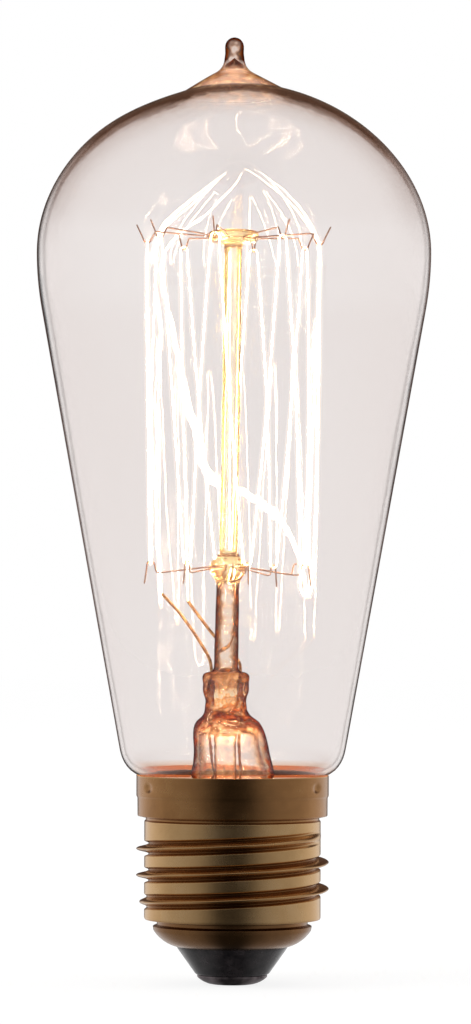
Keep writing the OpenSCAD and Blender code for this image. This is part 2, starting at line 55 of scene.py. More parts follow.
def even(line, step):
    """Points at equal steps: each coordinate is read off against the length run so far."""
    line = np.asarray(line, dtype=float)
    run = np.concatenate([[0], np.cumsum(np.linalg.norm(np.diff(line, axis=0), axis=1))])
    at = np.linspace(0, run[-1], max(round(run[-1] / step), 2) + 1)
    return np.stack([np.interp(at, run, column) for column in line.T], axis=1)


def soften(line, step, radius, closed=False):
    """Every point becomes the mean of its neighbours, weighted by a bell curve radius wide."""
    points = even(line, step)
    reach = int(3 * radius / step) + 1
    weights = np.exp(-0.5 * (np.arange(-reach, reach + 1) * step / radius) ** 2)
    if closed:
        points = points[:-1]
        before, after = points[-reach:], points[:reach]
    else:
        before = 2 * points[0] - points[reach:0:-1]
        after = 2 * points[-1] - points[-2:-reach - 2:-1]
    padded = np.concatenate([before, points, after])
    weights /= weights.sum()
    return np.stack([np.convolve(column, weights, "valid") for column in padded.T], axis=1)


corner = soften([(0, 0), (5, 0), (5, 5)], 0.25, 0.4)
print("a corner of", len(corner), "points keeps its ends:", corner[0], corner[-1])

# %% [markdown]
# ## Arcs and walls of even thickness
# Turned and blown shapes are mostly arcs that run smoothly into straight lines. An arc's middle is never
# at hand, so an arc is given by its two ends and how far it turns. The inside of blown glass is the
# outside moved sideways along its own normals, which keeps the wall even.

# %% Arc and inset


def arc(p, q, turn, steps=12):
    """From p to q on a circle whose heading turns by turn degrees, to the left where it is positive."""
    p, q, half = np.array(p, float), np.array(q, float), np.radians(turn) / 2
    s = half * np.linspace(0, 1, steps + 1)
    heading = np.arctan2(q[1] - p[1], q[0] - p[0]) - half + s
    reach = np.linalg.norm(q - p) * np.sin(s) / np.sin(half)
    return p + np.stack([reach * np.cos(heading), reach * np.sin(heading)], axis=1)


def inset(line, thickness):
    """Each point moves to its left by the thickness, square to the line's direction there."""
    along = np.gradient(line, axis=0)
    along /= np.linalg.norm(along, axis=1, keepdims=True)
    return line + thickness * np.stack([-along[:, 1], along[:, 0]], axis=1)


quarter = arc((2, 0), (0, 2), 90)
print("half way round a quarter circle:", np.round(quarter[6], 2), np.round(inset(quarter, 0.5)[6], 2))

# %% [markdown]
# ## Surfaces from a grid
# Every new piece is one grid of points, rows by columns, whose last column joins its first. It can end in
# a point, called a pole, or join its last row to its first to make a ring. Modifiers could do this too,
# but a grid says exactly where every point is.

# %% Make a piece from a grid
mm = 0.001


def make_piece(name, grid, start=None, end=None, ring=False):
    """Joins each point to its right and upper neighbours, with the outside on the right-hand side."""
    rows, columns = grid.shape[:2]
    number = np.arange(rows * columns).reshape(rows, columns)
    beside = np.roll(number, -1, axis=1)
    quads = np.stack([number, beside, np.roll(beside, -1, axis=0), np.roll(number, -1, axis=0)], axis=-1)
    faces = quads[:rows if ring else rows - 1].reshape(-1, 4).tolist()
    points = grid.reshape(-1, 3)
    if start is not None:
        pole = np.full(columns, len(points))
        points = np.vstack([points, start])
        faces += np.stack([pole, beside[0], number[0]], axis=1).tolist()
    if end is not None:
        pole = np.full(columns, len(points))
        points = np.vstack([points, end])
        faces += np.stack([number[-1], beside[-1], pole], axis=1).tolist()
    mesh = bpy.data.meshes.new(name)
    mesh.from_pydata(points * mm, [], faces)
    mesh.shade_smooth()
    piece = bpy.data.objects.new(name, mesh)
    bpy.context.scene.collection.objects.link(piece)
    return piece


def round_angles(columns):
    """Equal angles round a circle, the last one a step short of the first."""
    return np.linspace(0, 2 * np.pi, columns, endpoint=False)


def turned(outline, columns):
    """A turned shape: radius and height, carried round the lamp's axis."""
    angle = round_angles(columns)
    r, z = outline[:, :1], outline[:, 1:]
    return np.stack([r * np.cos(angle), r * np.sin(angle), z + 0 * angle], axis=-1)


def note(piece):
    """Prints what a piece measures."""
    size = [round(1000 * s, 2) for s in piece.dimensions]
    print(piece.name, "has", len(piece.data.polygons), "faces and measures", size, "mm")


print("four angles round a circle, in degrees:", np.degrees(round_angles(4)))

# %% [markdown]
# ## Dressing a piece
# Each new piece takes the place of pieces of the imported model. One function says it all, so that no
# piece misses a part. Nothing moves, so all ride on one body.

# %% Dress a piece


def dress(piece, material, slot, *nodes):
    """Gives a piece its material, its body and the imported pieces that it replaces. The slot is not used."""
    piece.data.materials.append(material)
    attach(piece, "root")
    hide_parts(*nodes)


# %% [markdown]
# ## The camera
# The picture was taken from a little below the middle with a long lens, so upright lines stay almost
# parallel. The camera is rolled by a hair, because the lamp leans by as much.

# %% Camera
from mathutils import Quaternion, Vector

scene = bpy.context.scene
eye, target = Vector((0.3, -550, 47.4)) * mm, Vector((0.3, 0, 64.67)) * mm
roll_degrees = 0.15
camera_data = bpy.data.cameras.new("camera")
camera_data.lens = 140.7
camera_data.sensor_width = 36
camera_data.clip_start = 0.01
camera = bpy.data.objects.new("camera", camera_data)
camera.location = eye
aim = (target - eye).to_track_quat("-Z", "Y")
camera.rotation_euler = (aim @ Quaternion((0, 0, 1), np.radians(roll_degrees))).to_euler()
scene.collection.objects.link(camera)
scene.camera = camera
scene.view_settings.view_transform = "Standard"
print("camera to lamp in mm:", round((target - eye).length * 1000))

# %% [markdown]
# ## Short names for shader nodes
# A finish in Blender is a small graph of nodes, which could be drawn by hand in the shader editor. Here
# each kind of node gets one short function, so that a finish reads like a recipe and comes out the same
# on every run.

# %% Shader node helpers


def connect(node, *in_order, **by_name):
    """Sets a socket to a plain value, or links it to another node's output: in order, then by name."""
    named = [(node.inputs[key.replace("_", " ")], value) for key, value in by_name.items()]
    for socket, value in [*zip(node.inputs, in_order), *named]:
        if isinstance(value, bpy.types.NodeSocket):
            node.id_data.links.new(value, socket)
        else:
            socket.default_value = value
    return node


def add(tree, kind, *in_order, **by_name):
    """A new shader node with its sockets connected."""
    return connect(tree.nodes.new("ShaderNode" + kind), *in_order, **by_name)


def calculate(operation, first, second):
    """A Math node over a socket and another socket or a number, in the first socket's own tree."""
    node = add(first.id_data, "Math", first, second)
    node.operation = operation
    return node.outputs[0]


def remap(source, low, high, to_low=0, to_high=1):
    """The source's way from low to high, taken as the same share of the way from to_low to to_high."""
    return add(source.id_data, "MapRange", source, low, high, to_low, to_high).outputs["Result"]


def split(vector):
    """The X, Y and Z parts of a vector."""
    return add(vector.id_data, "SeparateXYZ", vector).outputs


def ramp(source, stops):
    """A colour ramp over a value: each stop is a position and a grey or a colour."""
    node = add(source.id_data, "ValToRGB", source)
    elements = node.color_ramp.elements
    elements[0].position, elements[1].position = stops[0][0], stops[-1][0]
    for place, _ in stops[1:-1]:
        elements.new(place)
    for element, (_, shade) in zip(elements, stops):
        element.color = (*shade, 1) if isinstance(shade, tuple) else (shade, shade, shade, 1)
    return node.outputs["Color"]


# %% [markdown]
# ## Mixing colours and shaders
# A mix takes the first of two things where its chooser is 0 and the second where it is 1. Colours and
# shaders each have a mix node of their own.

# %% Mix helpers


def blended(chooser, first, second):
    """A mix of two colours, the second of which may be written as a plain colour."""
    second = (*second, 1) if isinstance(second, tuple) else second
    return add(chooser.id_data, "MixRGB", chooser, first, second).outputs["Color"]


def mixed(chooser, first, second):
    """A mix of two shaders."""
    return add(chooser.id_data, "MixShader", chooser, first, second).outputs[0]


# %% [markdown]
# ## What polish mirrors
# Brass shows the room that it stands in. A picture of a studio could be wrapped round the scene, but one
# ramp does it: almost black in front of the lamp, bright at its sides, and dark again straight behind,
# where glass seen edge-on mirrors a curtain. A dark, warm ceiling behind the lamp gives the crown its
# brown rim.

# %% Mirrored room
ceiling = (0.09, 0.05, 0.03)
greys = [
    (0, 0.04), (0.015, 0.05), (0.05, 0.15), (0.1, 0.28), (0.2, 0.4), (0.36, 0.46), (0.5, 0.54),
    (0.64, 0.7), (0.8, 0.9), (0.87, 0.97), (0.945, 1), (0.96, 0.8), (0.972, 0.3),
    (0.98, (0.12, 0.09, 0.08)), (1, (0.09, 0.05, 0.045)),
]


def mirrored(direction):
    """The grey in a direction: the ramp is read at half of 1 plus Y, and gives way to the ceiling
    where Y goes from 0.2 to 0.6 and Z from 0.06 to 0.3.
    """
    x, y, z = split(direction)
    round_the_room = ramp(remap(y, -1, 1), greys)
    behind, above = remap(y, 0.2, 0.6), remap(z, 0.06, 0.3)
    return blended(calculate("MULTIPLY", behind, above), round_the_room, ceiling)


print("greys from front to back:", len(greys))

# %% [markdown]
# ## The studio
# Glass is photographed against a bright white wall in a dim room. The world shader tells apart what kind
# of ray reaches it: the camera sees plain white, a ray through glass sees a white wall under a warm dark
# ceiling, a mirrored ray sees the room of the step before, and the rest is a soft grey light. Many
# bounces are allowed, because a ray crosses a dozen glass faces, and bright ones aren't limited, because
# the mirrored filament is part of the picture.

# %% World
world = bpy.data.worlds.new("studio")
scene.world = world
world.use_nodes = True
sky = world.node_tree
sky.nodes.clear()


def background(strength, colour):
    """A Background shader with a plain colour, or with the colour that other nodes work out."""
    colour = (*colour, 1) if isinstance(colour, tuple) else colour
    return add(sky, "Background", colour, strength).outputs[0]


white = (1, 1, 1)
view = add(sky, "TexCoord").outputs["Generated"]
ray = add(sky, "LightPath").outputs
backdrop, soft_light = background(1, white), background(0.8, white)
wall = background(1, ramp(split(view)[2], [(0.2, 1), (0.4, (0.45, 0.27, 0.19))]))
reflections = background(1, mirrored(view))
by_gloss = mixed(ray["Is Glossy Ray"], soft_light, reflections)
through_glass = mixed(ray["Is Transmission Ray"], by_gloss, wall)
in_view = mixed(ray["Is Camera Ray"], through_glass, backdrop)
add(sky, "OutputWorld", in_view)
scene.cycles.max_bounces = 32
scene.cycles.transmission_bounces = 32
scene.cycles.transparent_max_bounces = 64
scene.cycles.sample_clamp_indirect = 0
print("world nodes:", len(sky.nodes))

# %% [markdown]
# ## Two soft lamps
# A large lamp above on the left and a weaker one on the right round off the pieces and put a soft shadow
# under the cap. They stay out of reflections, which the room already draws.

# %% Lamps


def soft_lamp(name, place, size, power, tint):
    """A square lamp that faces the middle of the glass bulb."""
    light = bpy.data.lights.new(name, "AREA")
    light.shape, light.size, light.energy, light.color = "SQUARE", size, power, tint
    lamp = bpy.data.objects.new(name, light)
    lamp.location = place
    lamp.rotation_euler = (Vector((0, 0, 0.06)) - Vector(place)).to_track_quat("-Z", "Y").to_euler()
    lamp.visible_glossy = False
    lamp.visible_transmission = False
    scene.collection.objects.link(lamp)


soft_lamp("lamp_left", (-0.8, -0.35, 0.75), 0.5, 3, (1, 0.98, 0.95))
soft_lamp("lamp_right", (0.9, -0.1, 0.5), 0.4, 1.5, (1, 0.97, 0.93))

# %% [markdown]
# ## The floor
# The lamp stands on a large flat board.

# %% Floor
half_width = 4
corners = [(-half_width, -half_width, 0), (half_width, -half_width, 0), (half_width, half_width, 0)]
corners.append((-half_width, half_width, 0))
floor_mesh = bpy.data.meshes.new("floor")
floor_mesh.from_pydata(corners, [], [(0, 1, 2, 3)])
floor = bpy.data.objects.new("floor", floor_mesh)
scene.collection.objects.link(floor)
print("floor width in m:", 2 * half_width)

# %% [markdown]
# ## The white board's finish
# Every finish starts as one Principled shader. A white board would go grey in dim light, so most of its
# white is its own when the camera looks at it, and the rest is light that the lamp can shade. Metal
# mirrors it in the greys of the room.

# %% White board


def new_material(name, **values):
    """A material with one Principled shader, and plain values on the sockets that are named."""
    material = bpy.data.materials.new(name)
    material.use_nodes = True
    shader = connect(material.node_tree.nodes["Principled BSDF"], **values)
    return material, material.node_tree, shader


pale = (0.86, 0.86, 0.86, 1)
board, tree, paint = new_material("white_board", Base_Color=pale, Roughness=0.9, Specular_IOR_Level=0)
ray = add(tree, "LightPath").outputs
straight = calculate("MAXIMUM", ray["Is Camera Ray"], ray["Is Transmission Ray"])
only_mirrored = calculate("SUBTRACT", ray["Is Glossy Ray"], straight)
way = add(tree, "VectorMath", add(tree, "TexCoord").outputs["Object"])
way.operation = "NORMALIZE"
in_metal = add(tree, "Emission", mirrored(way.outputs[0]), 0.9)
own_white = add(tree, "Emission", Strength=1.1)
share_of_own = calculate("MULTIPLY", straight, 0.75)
by_gloss = mixed(only_mirrored, paint.outputs[0], in_metal.outputs[0])
connect(tree.nodes["Material Output"], mixed(share_of_own, by_gloss, own_white.outputs[0]))
floor_mesh.materials.append(board)
print("nodes in the board's finish:", len(tree.nodes))

# %% [markdown]
# ## Noise, relief and height
# Nothing that was made in a flame is the same all over. Three helpers break a finish up: a noise whose
# lumps have a size in mm, a relief that needs no faces, and a ramp read by height above the end contact.

# %% Noise, relief and height helpers
ramp_top = 130


def noise(place, size_mm, detail, **values):
    """A soft noise between 0 and 1 whose lumps are about that many mm apart."""
    scale = 1 / (size_mm * mm)
    return add(place.id_data, "TexNoise", place, Scale=scale, Detail=detail, **values).outputs["Fac"]


def bumped(shader, height, depth_mm):
    """Lets a height between 0 and 1 lift the surface by at most that depth."""
    bump = add(shader.id_data, "Bump", Strength=1, Distance=depth_mm * mm, Height=height)
    connect(shader, Normal=bump.outputs[0])


def by_height(z, stops):
    """A ramp over the height, whose stops are a height in mm and a value."""
    level = remap(z, 0, ramp_top * mm)
    return ramp(level, [(height / ramp_top, value) for height, value in stops])


print("ramps by height reach up to", ramp_top, "mm")

# %% [markdown]
# ## Zones of clear glass
# Thin blown glass shows itself by its edges: the wall is seen aslant there, and a dark line forms against a
# white wall. A plain glass shader draws that line too softly, so the line is painted shade: the colour of the
# light that passes follows how far a face leans, from 0 facing to 1 edge-on. Neck, wall, crown and tip differ
# in thickness and smoke, and in the painted light and shade they get. Each is a zone with its own ramp, which
# takes over from the zone under it between two heights.

# %% Colours by zone


def zoned_colour(z, facing, patch, zones):
    """Each zone's ramp is read at the lean plus a share of the patches; heights are in mm."""
    colour = None
    for low, high, share, stops in zones:
        lean = calculate("ADD", facing, calculate("MULTIPLY", patch, share))
        leaning = ramp(lean, stops)
        if colour is None:
            colour = leaning
        else:
            colour = blended(remap(z, low * mm, high * mm), colour, leaning)
    return colour


print("zones are read from z = 0 up")

# %% [markdown]
# ## Veil and glow
# Thick, uneven lumps of glass mirror dark and lit things all over. Two stand-ins take the place of all those
# small facets, as painted shade and painted light. The veil is a tinted coat that bends nothing and paints
# shade on a face the more it leans, and those edges also get a little painted light. The glow is painted
# light, a weak light of the surface's own where the filament lights it, in painted glint colours. Both have a
# share by height, and patches break them up.

# %% Veil and glow
veil_tint = (0.65, 0.36, 0.2, 1)
veil_start, veil_full = 1, 1.15
fade_start, fade_end = 0.84, 0.95
veil_light, glow_light = 0.5, 4
# Painted glints: the colours that the painted light takes, from dark brown to bright orange, as the patches
# say.
painted_glint_colours = [
    (0.42, (0.08, 0.025, 0.007)), (0.52, (0.24, 0.1, 0.03)), (0.62, (0.6, 0.3, 0.11)),
    (0.7, (1, 0.68, 0.36)),
]


def veil_and_glow(shader, z, facing, patches, patch, glow, veil):
    """The coat's weight is the lean plus its share at that height plus that share times the patches,
    counted from veil_start to veil_full. The light is half that weight, plus 4 times the glow's share,
    which fades where a face leans past fade_start. Its colour follows the patches.
    """
    reach = by_height(z, veil)
    lean = calculate("ADD", calculate("ADD", facing, reach), calculate("MULTIPLY", patch, reach))
    weight = remap(lean, veil_start, veil_full)
    lit = calculate("MULTIPLY", by_height(z, glow), remap(facing, fade_start, fade_end, 1, 0))
    both = calculate("MULTIPLY", weight, veil_light), calculate("MULTIPLY", lit, glow_light)
    colour = ramp(patches, painted_glint_colours)
    connect(shader, Coat_Weight=weight, Emission_Strength=calculate("ADD", *both), Emission_Color=colour)


print("a face wears the veil where its lean and its share pass", veil_start)

# %% [markdown]
# ## The glass shader
# The body is a plain glass shader, and the glass itself swallows a little light by depth, which gives the
# thin wall its warm grey. That absorption needs a closed wall with a real thickness. Slow ripples from
# blowing and drawing come from a low noise.

# %% Glass material


def clear_glass(name, ior, zones, patch_mm, tint, per_mm, ripple_mm, ripple_depth, glow, veil):
    """Glass with zones, veil and glow, which swallows light by depth as share_left below says."""
    material, tree, shader = new_material(
        name, Roughness=0, IOR=ior, Transmission_Weight=1, Coat_IOR=1, Coat_Tint=veil_tint
    )
    place = add(tree, "TexCoord").outputs["Object"]
    z = split(place)[2]
    facing = add(tree, "LayerWeight", Blend=0.5).outputs["Facing"]
    patches = noise(place, patch_mm, 1)
    patch = calculate("SUBTRACT", patches, 0.5)
    connect(shader, Base_Color=zoned_colour(z, facing, patch, zones))
    veil_and_glow(shader, z, facing, patches, patch, glow, veil)
    inside = add(tree, "VolumeAbsorption", (*tint, 1), per_mm / mm)
    connect(tree.nodes["Material Output"], Volume=inside.outputs[0])
    bumped(shader, noise(place, ripple_mm, 2), ripple_depth)
    return material


def share_left(tint, per_mm, depth):
    """The share of light left after a depth: e to the power of minus depth, per_mm and 1 less the tint."""
    return np.round(np.exp(-per_mm * depth * (1 - np.array(tint))), 2)


print("half-grey glass 1 mm thick lets through", share_left((0.5, 0.5, 0.5), 1, 1))

# %% [markdown]
# ## The bulb's glass
# In the photograph the bulb's edge is a thin dark line, sharp on the cone and wider on the crown, the
# drawn cone is a warm brown, and the solid tip is almost black at its sides. Each stop is a lean and the
# colour left there. The neck is lit from below by the brass round it.

# %% Bulb glass
# Each ramp's dark end is painted shade, the dark edge line. The warm browns of the neck, cone and tip are
# painted light from the filament and the brass.
neck_zone = [(0, (1, 0.8, 0.66)), (0.5, (1, 0.7, 0.5)), (1, (0.4, 0.15, 0.07))]
wall_zone = [
    (0.5, 1), (0.76, (0.99, 0.98, 0.98)), (0.805, (0.9, 0.87, 0.86)), (0.83, (0.42, 0.36, 0.35)),
    (0.86, (0.13, 0.09, 0.08)), (1, (0.06, 0.04, 0.035)),
]
crown_zone = [
    (0.5, 1), (0.7, (0.97, 0.95, 0.94)), (0.745, (0.86, 0.8, 0.77)), (0.775, (0.12, 0.07, 0.055)),
    (1, (0.04, 0.02, 0.015)),
]
top_zone = [
    (0.5, 1), (0.64, (0.93, 0.88, 0.84)), (0.7, (0.75, 0.64, 0.56)), (0.74, (0.12, 0.07, 0.05)),
    (1, (0.04, 0.02, 0.015)),
]
cone_zone = [
    (0.3, (1, 0.9, 0.82)), (0.5, (0.9, 0.7, 0.58)), (0.65, (0.74, 0.5, 0.39)), (0.8, (0.42, 0.26, 0.19)),
    (0.88, (0.1, 0.05, 0.04)), (0.95, (0.04, 0.02, 0.015)),
]
tip_zone = [
    (0.015, (1, 0.93, 0.86)), (0.06, (0.72, 0.48, 0.35)), (0.11, (0.2, 0.1, 0.065)),
    (0.19, (0.035, 0.015, 0.01)), (1, (0.02, 0.01, 0.008)),
]
wall_tint, wall_per_mm, wall_mm = (0.52, 0.32, 0.25), 0.25, 0.6
bulb_glass = clear_glass(
    "bulb_glass", ior=1.5, patch_mm=1.3, tint=wall_tint, per_mm=wall_per_mm, ripple_mm=9, ripple_depth=0.03,
    zones=[
        (0, 0, 0, neck_zone), (28.7, 29.9, 0, wall_zone), (111.5, 115, 0.03, crown_zone),
        (117.5, 120, 0.1, top_zone), (122.4, 123.2, 0.4, cone_zone), (126, 127, 0.75, tip_zone),
    ],
    glow=[(121.8, 0), (122.8, 0.09), (125.4, 0.08), (126.4, 0.015)],
    veil=[(126.2, 0), (126.8, 0.8)],
)
print("share of light left through both walls:", share_left(wall_tint, wall_per_mm, 2 * wall_mm))

# %% [markdown]
# ## The bulb's outline
# The bulb was blown in a mould: a neck, a shoulder, a long straight cone and a dome, whose crown was
# drawn up in a flame into a small cone and a solid tip. The outline is radius and height from the neck
# up. An arc leads from the cone's slope into the dome, which is an ellipse whose cosine and sine are
# raised to a power just over 1.

# %% Bulb outline
bulb_r, bulb_z, dome_h, cone = 27.15, 100.5, 23.3, 10.25
shoulder, cone_start = np.array([13.9, 29.05]), np.array([15.45, 31.8])
slope = np.radians(cone)
straight_r = cone_start[0] + np.tan(slope) * (bulb_z - cone_start[1])
bulge_r = (straight_r - bulb_r) * np.cos(slope) / (1 - np.cos(slope))
cone_end = (bulb_r - bulge_r * (1 - np.cos(slope)), bulb_z - bulge_r * np.sin(slope))
chord = np.degrees(np.arctan2(*(cone_start - shoulder)[::-1]))
foot_r, power = 7, 1.03
around_dome = np.linspace(0, np.arccos((foot_r / bulb_r) ** (1 / power)), 60)[1:]
dome_r, dome_z = bulb_r * np.cos(around_dome) ** power, bulb_z + dome_h * np.sin(around_dome) ** power
dome = np.stack([dome_r, dome_z], axis=1)
body_line = np.vstack([
    [(12.07, 24), (12.07, 28)],
    arc(shoulder, cone_start, 2 * (90 - cone - chord)),
    arc(cone_end, (bulb_r, bulb_z), cone),
    dome,
])
foot_z = dome[-1, 1]
tip_line = np.vstack([
    [(foot_r, foot_z)],
    arc((2.6, foot_z + 2.34), (1.37, foot_z + 4.4), -62),
    [(1.27, 128), (1.31, 128.7)],
    arc((1.31, 128.9), (0, 130.2), 90),
])
outside = np.vstack([soften(body_line, 0.7, 0.5), soften(tip_line, 0.25, 0.2)[1:]])
print("bulb outline:", len(outside), "points up to", round(outside[:, 1].max(), 2), "mm")

# %% [markdown]
# ## The blown bulb
# It could be a turned curve with Screw and Solidify modifiers. Here outside and inside are one closed
# surface, so the wall can thicken into the tip, and a ray always knows whether it is in the glass. The
# inside ends in a small peak where the crown was pulled up, and the crown sags a little on the left, as
# in the photograph.

# %% Bulb surface
wall_line = inset(soften(body_line, 0.7, 0.5), wall_mm)
peak = [(0, 4.3), (0.5, 3.6), (1.3, 2.75), (2.4, 1.85), (4.6, 0.75)]
hollow = soften([(r, foot_z + z) for r, z in peak] + [wall_line[-1]], 0.25, 0.2)
hollow = np.vstack([hollow[1:-1], wall_line[::-1]])
columns = 160
angle = round_angles(columns)
outer_grid, inner_grid = turned(outside[:-1], columns), turned(hollow, columns)
inner_z = inner_grid[:, :1, 2]
uneven = 1 + 0.0016 * np.sin(2 * angle + inner_z / 17) + 0.001 * np.sin(3 * angle - inner_z / 9)
inner_grid[:, :, :2] *= uneven[:, :, None]
grid = np.concatenate([inner_grid, outer_grid])
from_axis = np.hypot(grid[..., 0], grid[..., 1])
sag = 0.5 * np.exp(-(((grid[..., 0] + 10) / 8) ** 2)) * np.clip((from_axis - 3) / 5, 0, 1)
grid[..., 2] -= sag * np.clip((grid[..., 2] - 103) / 12, 0, 1)
bulb = make_piece("blown_bulb", grid, start=(0, 0, foot_z + peak[0][1]), end=(0, 0, outside[-1, 1]))
dress(bulb, bulb_glass, "smoky_glass", "glass_envelope", "crown_tip")
note(bulb)

# %% [markdown]
# ## The stem's rings
# The stem is lead glass worked in a flame: a flared tube, pinched flat round the lead wires, with a rod
# on top that swells into a bead and ends in a button. Each ring of it is a rounded box: half width, half
# depth, squareness, middle and height. The rings run from the closed end of the exhaust tube, over the
# inside of the flare and round its rim, to the top of the button. The rod leans by just under a degree.

# %% Rings of the stem
press_z, rod_lean, press_x = 42.7, np.radians(0.9), -0.95


def rod_x(z):
    """Where the leaning rod's middle is at a height."""
    return press_x + (z - press_z) * np.tan(rod_lean)


def round_rows(x, *pairs):
    """Rows of round rings about a middle: half width, half depth, squareness, middle and height."""
    return [(r, r, 1, x, z) for r, z in pairs]


tube_rows = round_rows(press_x, *arc((0.02, 16), (1.45, 17.45), 90, 6), (1.45, 34.3))
inside_rows = [
    (2.1, 2.1, 1, -0.9, 35), (3.2, 3.1, 1, -0.75, 34.9), (3.85, 3.7, 1, -0.6, 34.3),
    (4.15, 4.1, 1, -0.4, 32.6),
    *round_rows(0, (4.62, 29.2), *arc((4.62, 29.2), (10.1, 24.05), 84, 8), (11.4, 24)),
]
outside_rows = [
    *round_rows(0, (11.4, 24.8), *arc((10.1, 24.8), (5.5, 29), -84, 8), (5.35, 29.8)),
    (5.05, 5.05, 1, -0.2, 32.4), (4.8, 4.75, 1, -0.5, 34.3), (4.7, 4.5, 1, -0.6, 34.9),
    (4.2, 3.6, 0.9, -0.75, 36), (3.35, 2.3, 0.7, -0.85, 36.8), (2.88, 1.6, 0.5, press_x, 37.5),
]
press_rows = [
    (2.84, 1.42, 0.42, press_x, 38.4), (3.22, 1.4, 0.4, press_x, 41), (3.32, 1.4, 0.42, press_x, 41.8),
    (3.2, 1.3, 0.45, press_x, 42.4), (2.7, 1.1, 0.5, press_x, 42.66), (1.9, 1.2, 0.8, press_x, 42.8),
]
rod_pairs = [
    (1.68, 43.3), (1.62, 44.5), (1.6, 54.3), (1.75, 55.2), (2.45, 56.2), (2.65, 57), (2.6, 57.5),
    (2.1, 58.1), (1.62, 58.45), (1.5, 58.8), (1.27, 59.3), (1.25, 101.2), (1.5, 101.72), (3.05, 101.78),
    (3.45, 102.15), (3.45, 103), (3.1, 103.42), (1, 103.5), (0.05, 103.5),
]
rod_rows = [(r, r, 1, rod_x(z), z) for r, z in rod_pairs]
rows = soften(tube_rows + inside_rows + outside_rows + press_rows + rod_rows, 0.22, 0.22)
print("stem rings:", len(rows))

# %% [markdown]
# ## The stem's surface
# The rounded box is a power of the circle: its width times the cosine and its depth times the sine, each
# raised to the squareness. At 1 that is a circle, and near 0 a box. The jaws left shallow ridges over the
# wires and lumps round them, and the rods swell and narrow by a hair. Sculpting could do this, but sums
# of sines are the same on every run.

# %% Stem surface
angle = round_angles(72)
width, ring_z = rows[:, 0:1], rows[:, 4:5]
bent = np.abs(np.stack([np.cos(angle), np.sin(angle)]))[:, None, :] ** rows[None, :, 2:3]
flame = 1 + 0.02 * np.sin(ring_z / 2.3) + 0.012 * np.sin(ring_z / 0.9 + 1)
x = width * flame * np.sign(np.cos(angle)) * bent[0]
y = rows[:, 1:2] * flame * np.sign(np.sin(angle)) * bent[1]
in_press = np.exp(-(((ring_z - 39.6) / 2) ** 4))
ridges = 0.28 * np.exp(-(((np.abs(x) - 1.95) / 0.45) ** 2)) - 0.2 * np.exp(-((x / 0.9) ** 2))
y = y + in_press * ridges * np.sign(np.sin(angle)) * (np.abs(y) > 0.6)
worked = np.exp(-(((ring_z - 38.8) / 3.6) ** 4)) * np.interp(width, [1.4, 2.2], [0, 1])
lumps = np.sin(1.9 * x + 1.3 * ring_z) * np.sin(2.3 * ring_z - 0.9 * x + 2 * np.sin(angle))
lumps += 0.5 * np.sin(3.4 * x - 2.1 * ring_z)
y = y * (1 + 0.1 * worked * lumps)
x = x * (1 + 0.025 * worked * np.sin(2.7 * ring_z + 2 * angle))
stem_grid = np.stack([x + rows[:, 3:4], y, ring_z + 0 * x], axis=-1)
ends = [(rows[k, 3], 0, rows[k, 4]) for k in (0, -1)]
stem = make_piece("stem_glass", stem_grid, start=ends[0], end=ends[1])
note(stem)

# %% [markdown]
# ## The stem's glass
# Lit from the cage, the flare is clear with brown sides, the pinched part amber, the press umber, the rod
# brown, the bead and the button honey, and the thin rod almost gold. These colours are painted light from the
# cage, with painted shade along the sides, in zones again.

# %% Stem glass
# Each ramp's dark end is painted shade. The amber, umber, brown, honey and gold colours are painted light
# from the cage.
clear_zone = [
    (0.15, (1, 0.98, 0.97)), (0.32, (0.86, 0.7, 0.58)), (0.43, (0.36, 0.17, 0.08)),
    (0.6, (0.12, 0.04, 0.015)), (1, (0.07, 0.025, 0.01)),
]
lit_amber_zone = [
    (0, (1, 0.86, 0.6)), (0.05, (1, 0.62, 0.28)), (0.12, (0.8, 0.3, 0.08)), (0.2, (0.34, 0.08, 0.015)),
    (0.34, (0.1, 0.025, 0.006)),
]
lit_umber_zone = [
    (0, (1, 0.55, 0.24)), (0.05, (0.55, 0.22, 0.06)), (0.13, (0.25, 0.07, 0.02)),
    (0.3, (0.1, 0.03, 0.01)),
]
lit_brown_zone = [
    (0.03, (1, 0.9, 0.8)), (0.08, (0.9, 0.62, 0.42)), (0.13, (0.46, 0.2, 0.09)), (0.2, (0.15, 0.055, 0.02)),
    (0.6, (0.06, 0.02, 0.008)),
]
lit_honey_zone = [
    (0.05, (1, 0.93, 0.64)), (0.3, (1, 0.82, 0.38)), (0.6, (0.95, 0.62, 0.2)), (1, (0.7, 0.4, 0.08)),
]
lit_gold_zone = [
    (0.03, (1, 0.97, 0.85)), (0.1, (1, 0.9, 0.55)), (0.2, (0.92, 0.64, 0.22)), (0.36, (0.52, 0.29, 0.06)),
    (0.6, (0.24, 0.1, 0.02)),
]
stem_tint, stem_per_mm, rod_width = (0.95, 0.75, 0.5), 0.08, 3.2
stem_glass = clear_glass(
    "flame_worked_glass", ior=1.55, patch_mm=1.1, tint=stem_tint, per_mm=stem_per_mm, ripple_mm=2.2,
    ripple_depth=0.05,
    zones=[
        (0, 0, 0.1, clear_zone), (34, 36, 2, lit_amber_zone), (39.6, 40.6, 0.8, lit_umber_zone),
        (42.5, 43.2, 0.3, lit_brown_zone), (54.6, 55.4, 0.1, lit_honey_zone), (58.6, 59.2, 0.1, lit_gold_zone),
        (101.3, 101.7, 0.1, lit_honey_zone),
    ],
    glow=[
        (24, 0.05), (32.5, 0.045), (34.8, 0.3), (37.5, 0.24), (39.5, 0.15), (40.5, 0.06), (42.5, 0.05),
        (43.5, 0.02), (54, 0.02), (56, 0.14), (60, 0.01), (100.5, 0.01), (101.7, 0.08),
    ],
    veil=[
        (24, 0.52), (34.5, 0.52), (36, 0.62), (37.5, 0.88), (42.6, 0.92), (43.2, 0.78), (54.2, 0.78),
        (54.8, 0),
    ],
)
